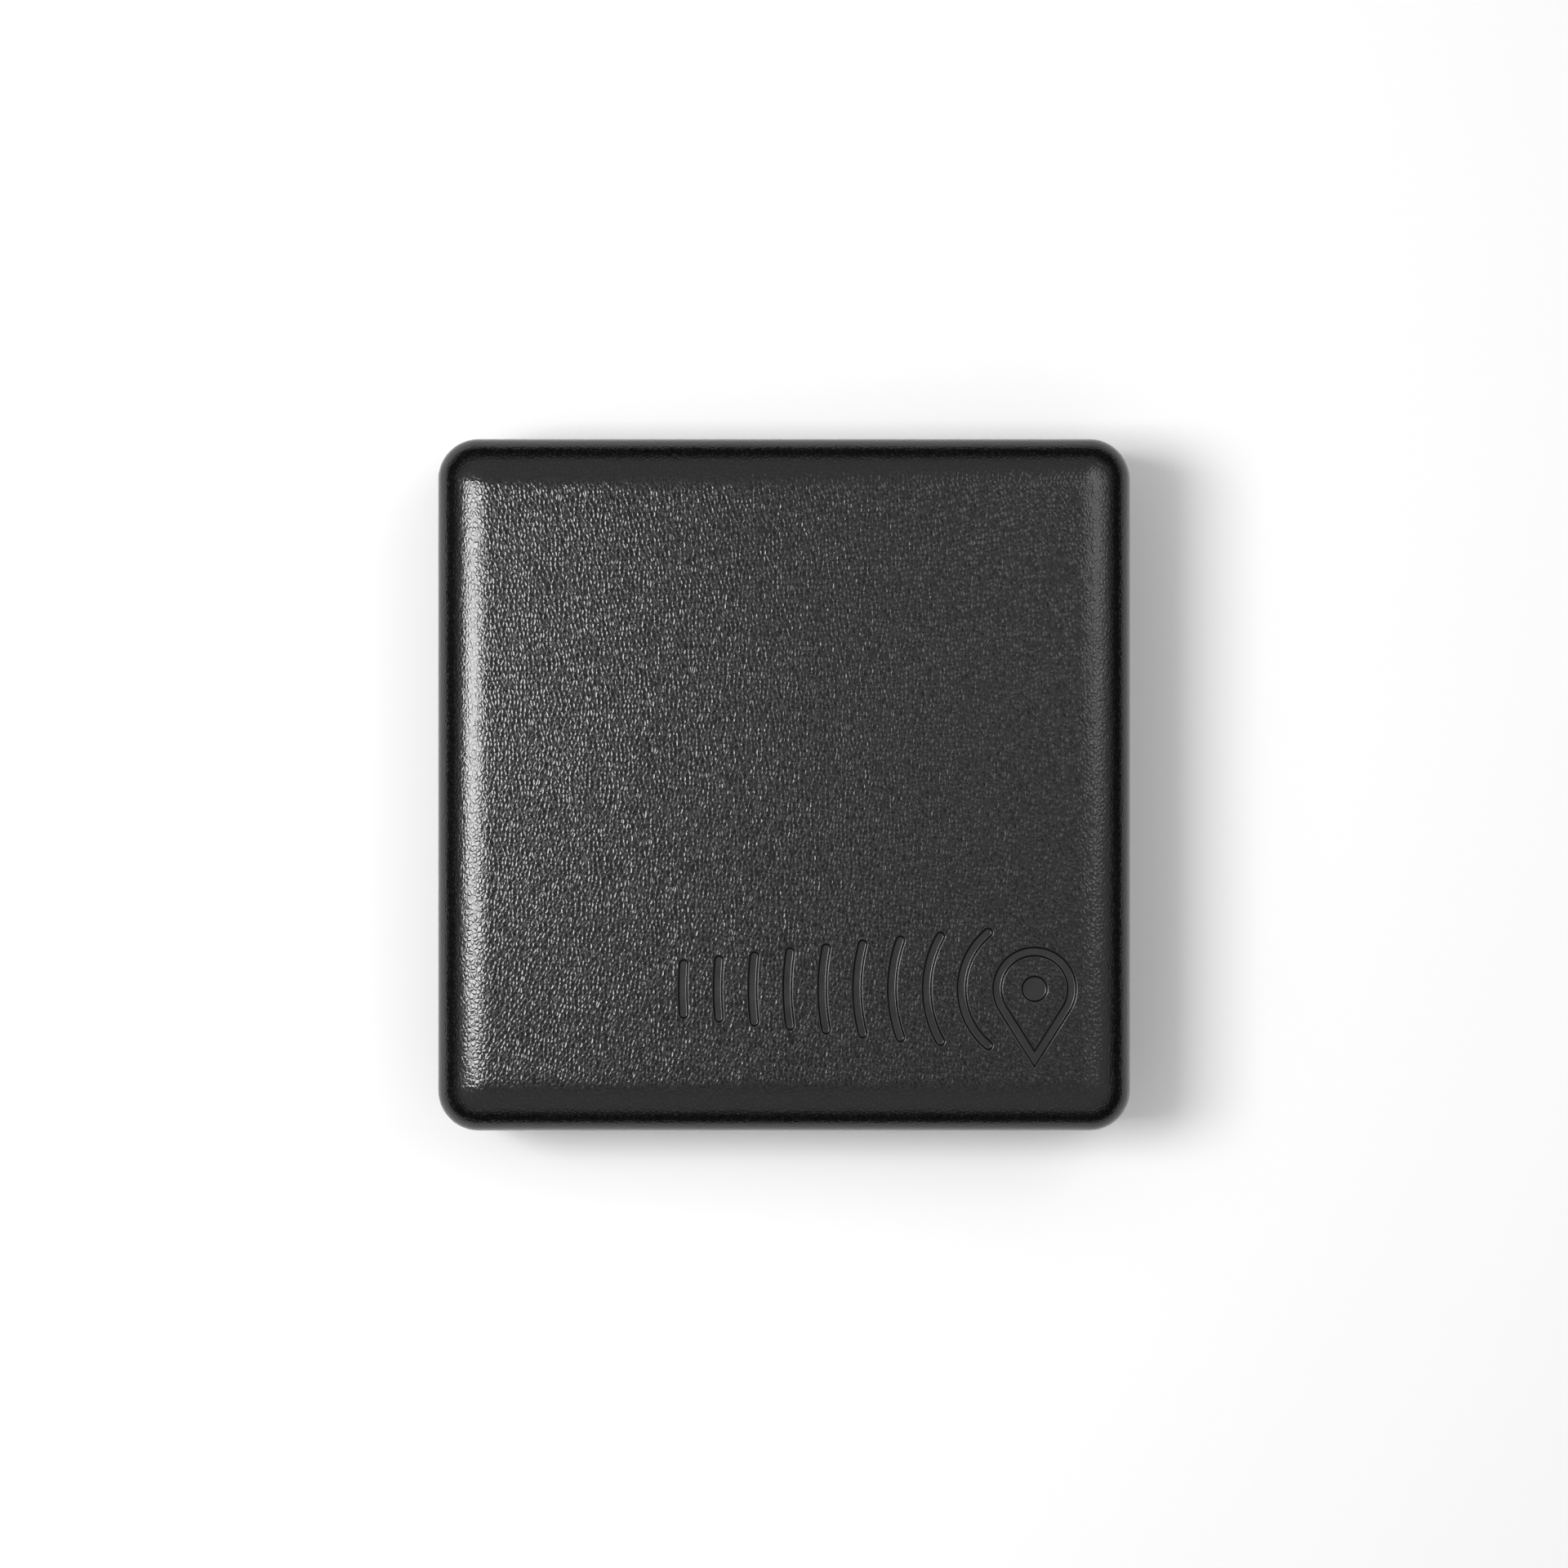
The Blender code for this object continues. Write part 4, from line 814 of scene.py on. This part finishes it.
def battery_door():
    skirt_top = DOOR_HIGH.z
    edge = round_end(SMALL_EDGE)
    rim = round_end(DOOR_EDGE)
    profile = [(0, PLATE_TOP), (SKIRT_INNER - SMALL_EDGE, PLATE_TOP), (SKIRT_INNER, PLATE_TOP + SMALL_EDGE)]
    profile += [(SKIRT_INNER + inset, skirt_top - depth) for inset, depth in reversed(edge)]
    profile += [(SKIRT_OUTER - inset, skirt_top - depth) for inset, depth in edge]
    profile += [(SKIRT_OUTER, PLATE_TOP)]
    profile += [(DOOR_RADIUS - inset, PLATE_TOP - depth) for inset, depth in edge]
    profile += [(DOOR_RADIUS - inset, DOOR_LOW.z + depth) for inset, depth in reversed(rim)]
    profile += [(0, DOOR_LOW.z)]
    bm = bmesh.new()
    turned(bm, profile)
    door = make("coin_slot_door", bm, "door_plastic")
    inner, outer = SKIRT_OUTER - WALL / 2, SKIRT_OUTER + THREAD_DEPTH
    boolean(door, "UNION", [thread_tool(f"lug_{s}", inner, outer, LUG_LEVEL, s) for s in THREAD_STARTS])
    half_length, half_width, depth = COIN_SLOT
    rings = []
    for grow, z in mouth(DOOR_LOW.z, DOOR_LOW.z + depth):
        half = half_width + grow
        rings.append(raised(rounded_box(half_length + grow, half, NEARLY_HALF * half), z))
    boolean(door, "DIFFERENCE", [lofted_tool("coin_slot", rings)])
    finished(door, "door", "battery_door")


def door_ring():
    cord = (RING_HIGH.z - RING_LOW.z) / 2
    centre = (RING_HIGH.x - cord, (RING_LOW.z + RING_HIGH.z) / 2)
    bm = bmesh.new()
    turned(bm, circle(centre, cord, CORD_STEPS), closed=True)
    finished(make("door_ring", bm, "seal_silicone"), "door_seal", "door_o_ring")


def screw(index):
    node = f"case_screw_{index}"
    low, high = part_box(node)
    at = ((low.x + high.x) / 2, (low.y + high.y) / 2)
    tip_radius, tip_length = SCREW_TIP
    profile = [(0, low.z)]
    profile += [(HEAD_RADIUS - inset, low.z + depth) for inset, depth in round_edge(*SCREW_DOME)]
    profile += [(HEAD_RADIUS, HEAD_TOP - SMALL_EDGE), (HEAD_RADIUS - SMALL_EDGE, HEAD_TOP)]
    profile += [(SHANK, HEAD_TOP), (SHANK, high.z - tip_length), (tip_radius, high.z), (0, high.z)]
    bm = bmesh.new()
    turned(bm, profile, at, SMALL_TURNED_STEPS)
    obj = make(f"screw_{index}", bm, "black_screw_steel")
    half_length, half_width, depth = CROSS_ARM
    cutters = []
    for arm, (x, y) in enumerate(((half_length, half_width), (half_width, half_length))):
        rings = []
        for grow, z in ((0, low.z - MM), (0, low.z + depth / 3), (-half_width / 3, low.z + depth)):
            outline = rounded_box(x + grow, y + grow, CROSS_CORNER, CROSS_CORNER_STEPS)
            rings.append([(at[0] + across, at[1] + along, z) for across, along in outline])
        cutters.append(lofted_tool(f"arm_{arm}", rings))
    boolean(obj, "DIFFERENCE", cutters)
    finished(obj, "case", node)


def side_key():
    """The button: a round-edged face, its body, and the flange and nub behind it."""
    face = BUTTON_HIGH.x
    profile = [(-inset, face - depth) for inset, depth in round_end(BUTTON_EDGE)]
    flange = FLANGE_FACE - FLANGE_THICKNESS
    profile += [(0, FLANGE_FACE), (FLANGE - SMALL_EDGE, FLANGE_FACE), (FLANGE, FLANGE_FACE - SMALL_EDGE)]
    profile += [(FLANGE, flange + SMALL_EDGE), (FLANGE - SMALL_EDGE, flange)]
    bm = bmesh.new()
    loft(bm, stadium_rings(profile), capped=True)
    key = make("side_key", bm, "button_rubber")
    low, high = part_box("switch_plunger")
    middle = (low.z + high.z) / 2
    rings = []
    for x in (BUTTON_LOW.x, flange + FLANGE_THICKNESS / 2):
        outline = rounded_box((high.y - low.y) / 2, (high.z - low.z) / 2, SMALL_EDGE, EDGE_STEPS)
        rings.append([(x, BUTTON_OFFSET + y, middle + z) for y, z in outline])
    boolean(key, "UNION", [lofted_tool("nub", rings)])
    finished(key, "button", "side_button")


def light_pipe():
    outer = PIPE_HIGH.x
    dome = round_edge(PIPE_RADIUS, PIPE_DOME, PIPE_DOME_STEPS)
    lens = [(PIPE_RADIUS - inset, outer - depth) for inset, depth in dome]
    collar = (PIPE_HIGH.y - PIPE_LOW.y) / 2
    shoulder = WALL_INSIDE - SEAT_GAP
    profile = [*lens, (PIPE_RADIUS, shoulder), (collar, shoulder), (collar, PIPE_LOW.x), (0, PIPE_LOW.x)]
    bm = bmesh.new()
    loft(bm, disc_rings(profile, PIPE_AT))
    finished(make("side_light_pipe", bm, "clear_plastic"), "case", "light_pipe")


# ---- Floor, light and camera ----


def floor():
    bm = bmesh.new()
    bmesh.ops.create_grid(bm, x_segments=8, y_segments=8, size=FLOOR_HALF)
    n = Nodes("pale_floor")
    share = n.noise(6, 3.0)
    colour = n.blend(share, *((grey, grey, grey) for grey in FLOOR_GREYS))
    n.finish(base_color=colour, roughness=n.ramp(share, 0, 1, *FLOOR_ROUGHNESS))
    MATERIALS["floor"] = n.material
    obj = make("floor", bm, "floor")
    obj.location.z = CASE_LOW - FLOOR_GAP


def backdrop():
    """A pale wall round the floor for low views. It neither lights the tag nor shows in its gloss."""
    bm = bmesh.new()
    turned(bm, [(BACKDROP_RADIUS, 0), (BACKDROP_RADIUS, BACKDROP_HEIGHT)], steps=BACKDROP_STEPS)
    n = Nodes("pale_backdrop")
    level = n.add("ShaderNodeSeparateXYZ", {"Vector": n.place}).outputs["Z"]
    n.finish(
        base_color=(0, 0, 0, 1),
        roughness=1.0,
        emission_color=(1, 1, 1, 1),
        emission_strength=n.ramp(level, 0, BACKDROP_HEIGHT / 3, *BACKDROP_RADIANCE),
    )
    MATERIALS["backdrop"] = n.material
    obj = make("backdrop", bm, "backdrop")
    obj.location.z = CASE_LOW - FLOOR_GAP
    for rays in ("diffuse", "glossy", "transmission", "shadow"):
        setattr(obj, f"visible_{rays}", False)


def softbox(name, tilt, azimuth, along, across, radiance):
    """A rectangular light that the tag sees tilt degrees from straight up, towards azimuth, measured
    anticlockwise from +X. along and across are its angular sizes down the sky and sideways."""
    data = bpy.data.lights.new(name, "AREA")
    data.shape = "RECTANGLE"
    data.size = 2 * LIGHT_DISTANCE * math.tan(math.radians(across / 2))
    data.size_y = 2 * LIGHT_DISTANCE * math.tan(math.radians(along / 2))
    data.energy = radiance * math.pi * data.size * data.size_y
    light = bpy.data.objects.new(name, data)
    t, a = math.radians(tilt), math.radians(azimuth)
    away = Vector((math.sin(t) * math.cos(a), math.sin(t) * math.sin(a), math.cos(t)))
    light.location = away * LIGHT_DISTANCE
    light.rotation_euler = away.to_track_quat("Z", "Y").to_euler()
    light.visible_camera = False
    bpy.context.scene.collection.objects.link(light)


def lights():
    for name, *values in LIGHTS:
        softbox(name, *values)
    sky()


def sky():
    """A pale light from overhead, dimmer straight up, that fades to dark well above the horizon."""
    world = bpy.data.worlds.new("surroundings")
    world.use_nodes = True
    tree = world.node_tree
    place = tree.nodes.new("ShaderNodeTexCoord")
    split = tree.nodes.new("ShaderNodeSeparateXYZ")
    tree.links.new(place.outputs["Generated"], split.inputs["Vector"])
    strength = tree.nodes.new("ShaderNodeMath")
    strength.operation = "MULTIPLY"
    bands = ((*SKY_EDGE, SKY_LOW_RADIANCE, SKY_RADIANCE), (SKY_OVERHEAD[0], 1, 1, SKY_OVERHEAD[1]))
    for i, values in enumerate(bands):
        band = tree.nodes.new("ShaderNodeMapRange")
        tree.links.new(split.outputs["Z"], band.inputs["Value"])
        for key, value in zip(("From Min", "From Max", "To Min", "To Max"), values):
            band.inputs[key].default_value = value
        tree.links.new(band.outputs["Result"], strength.inputs[i])
    background = tree.nodes["Background"]
    background.inputs["Color"].default_value = (1, 1, 1, 1)
    tree.links.new(strength.outputs[0], background.inputs["Strength"])
    bpy.context.scene.world = world


def camera():
    data = bpy.data.cameras.new("camera")
    data.lens = LENS
    data.sensor_width = SENSOR
    data.clip_start = 0.01
    obj = bpy.data.objects.new("camera", data)
    obj.location = (0, CAMERA_OFFSET, TOP - EDGE_DROP + FRAME_WIDTH * LENS / SENSOR)
    bpy.context.scene.collection.objects.link(obj)
    bpy.context.scene.camera = obj
    bpy.context.scene.view_settings.view_transform = "Standard"


dress_cad_nodes()
front_shell()
rear_shell()
battery_door()
door_ring()
for number in range(1, 5):
    screw(number)
side_key()
light_pipe()
floor()
backdrop()
lights()
camera()
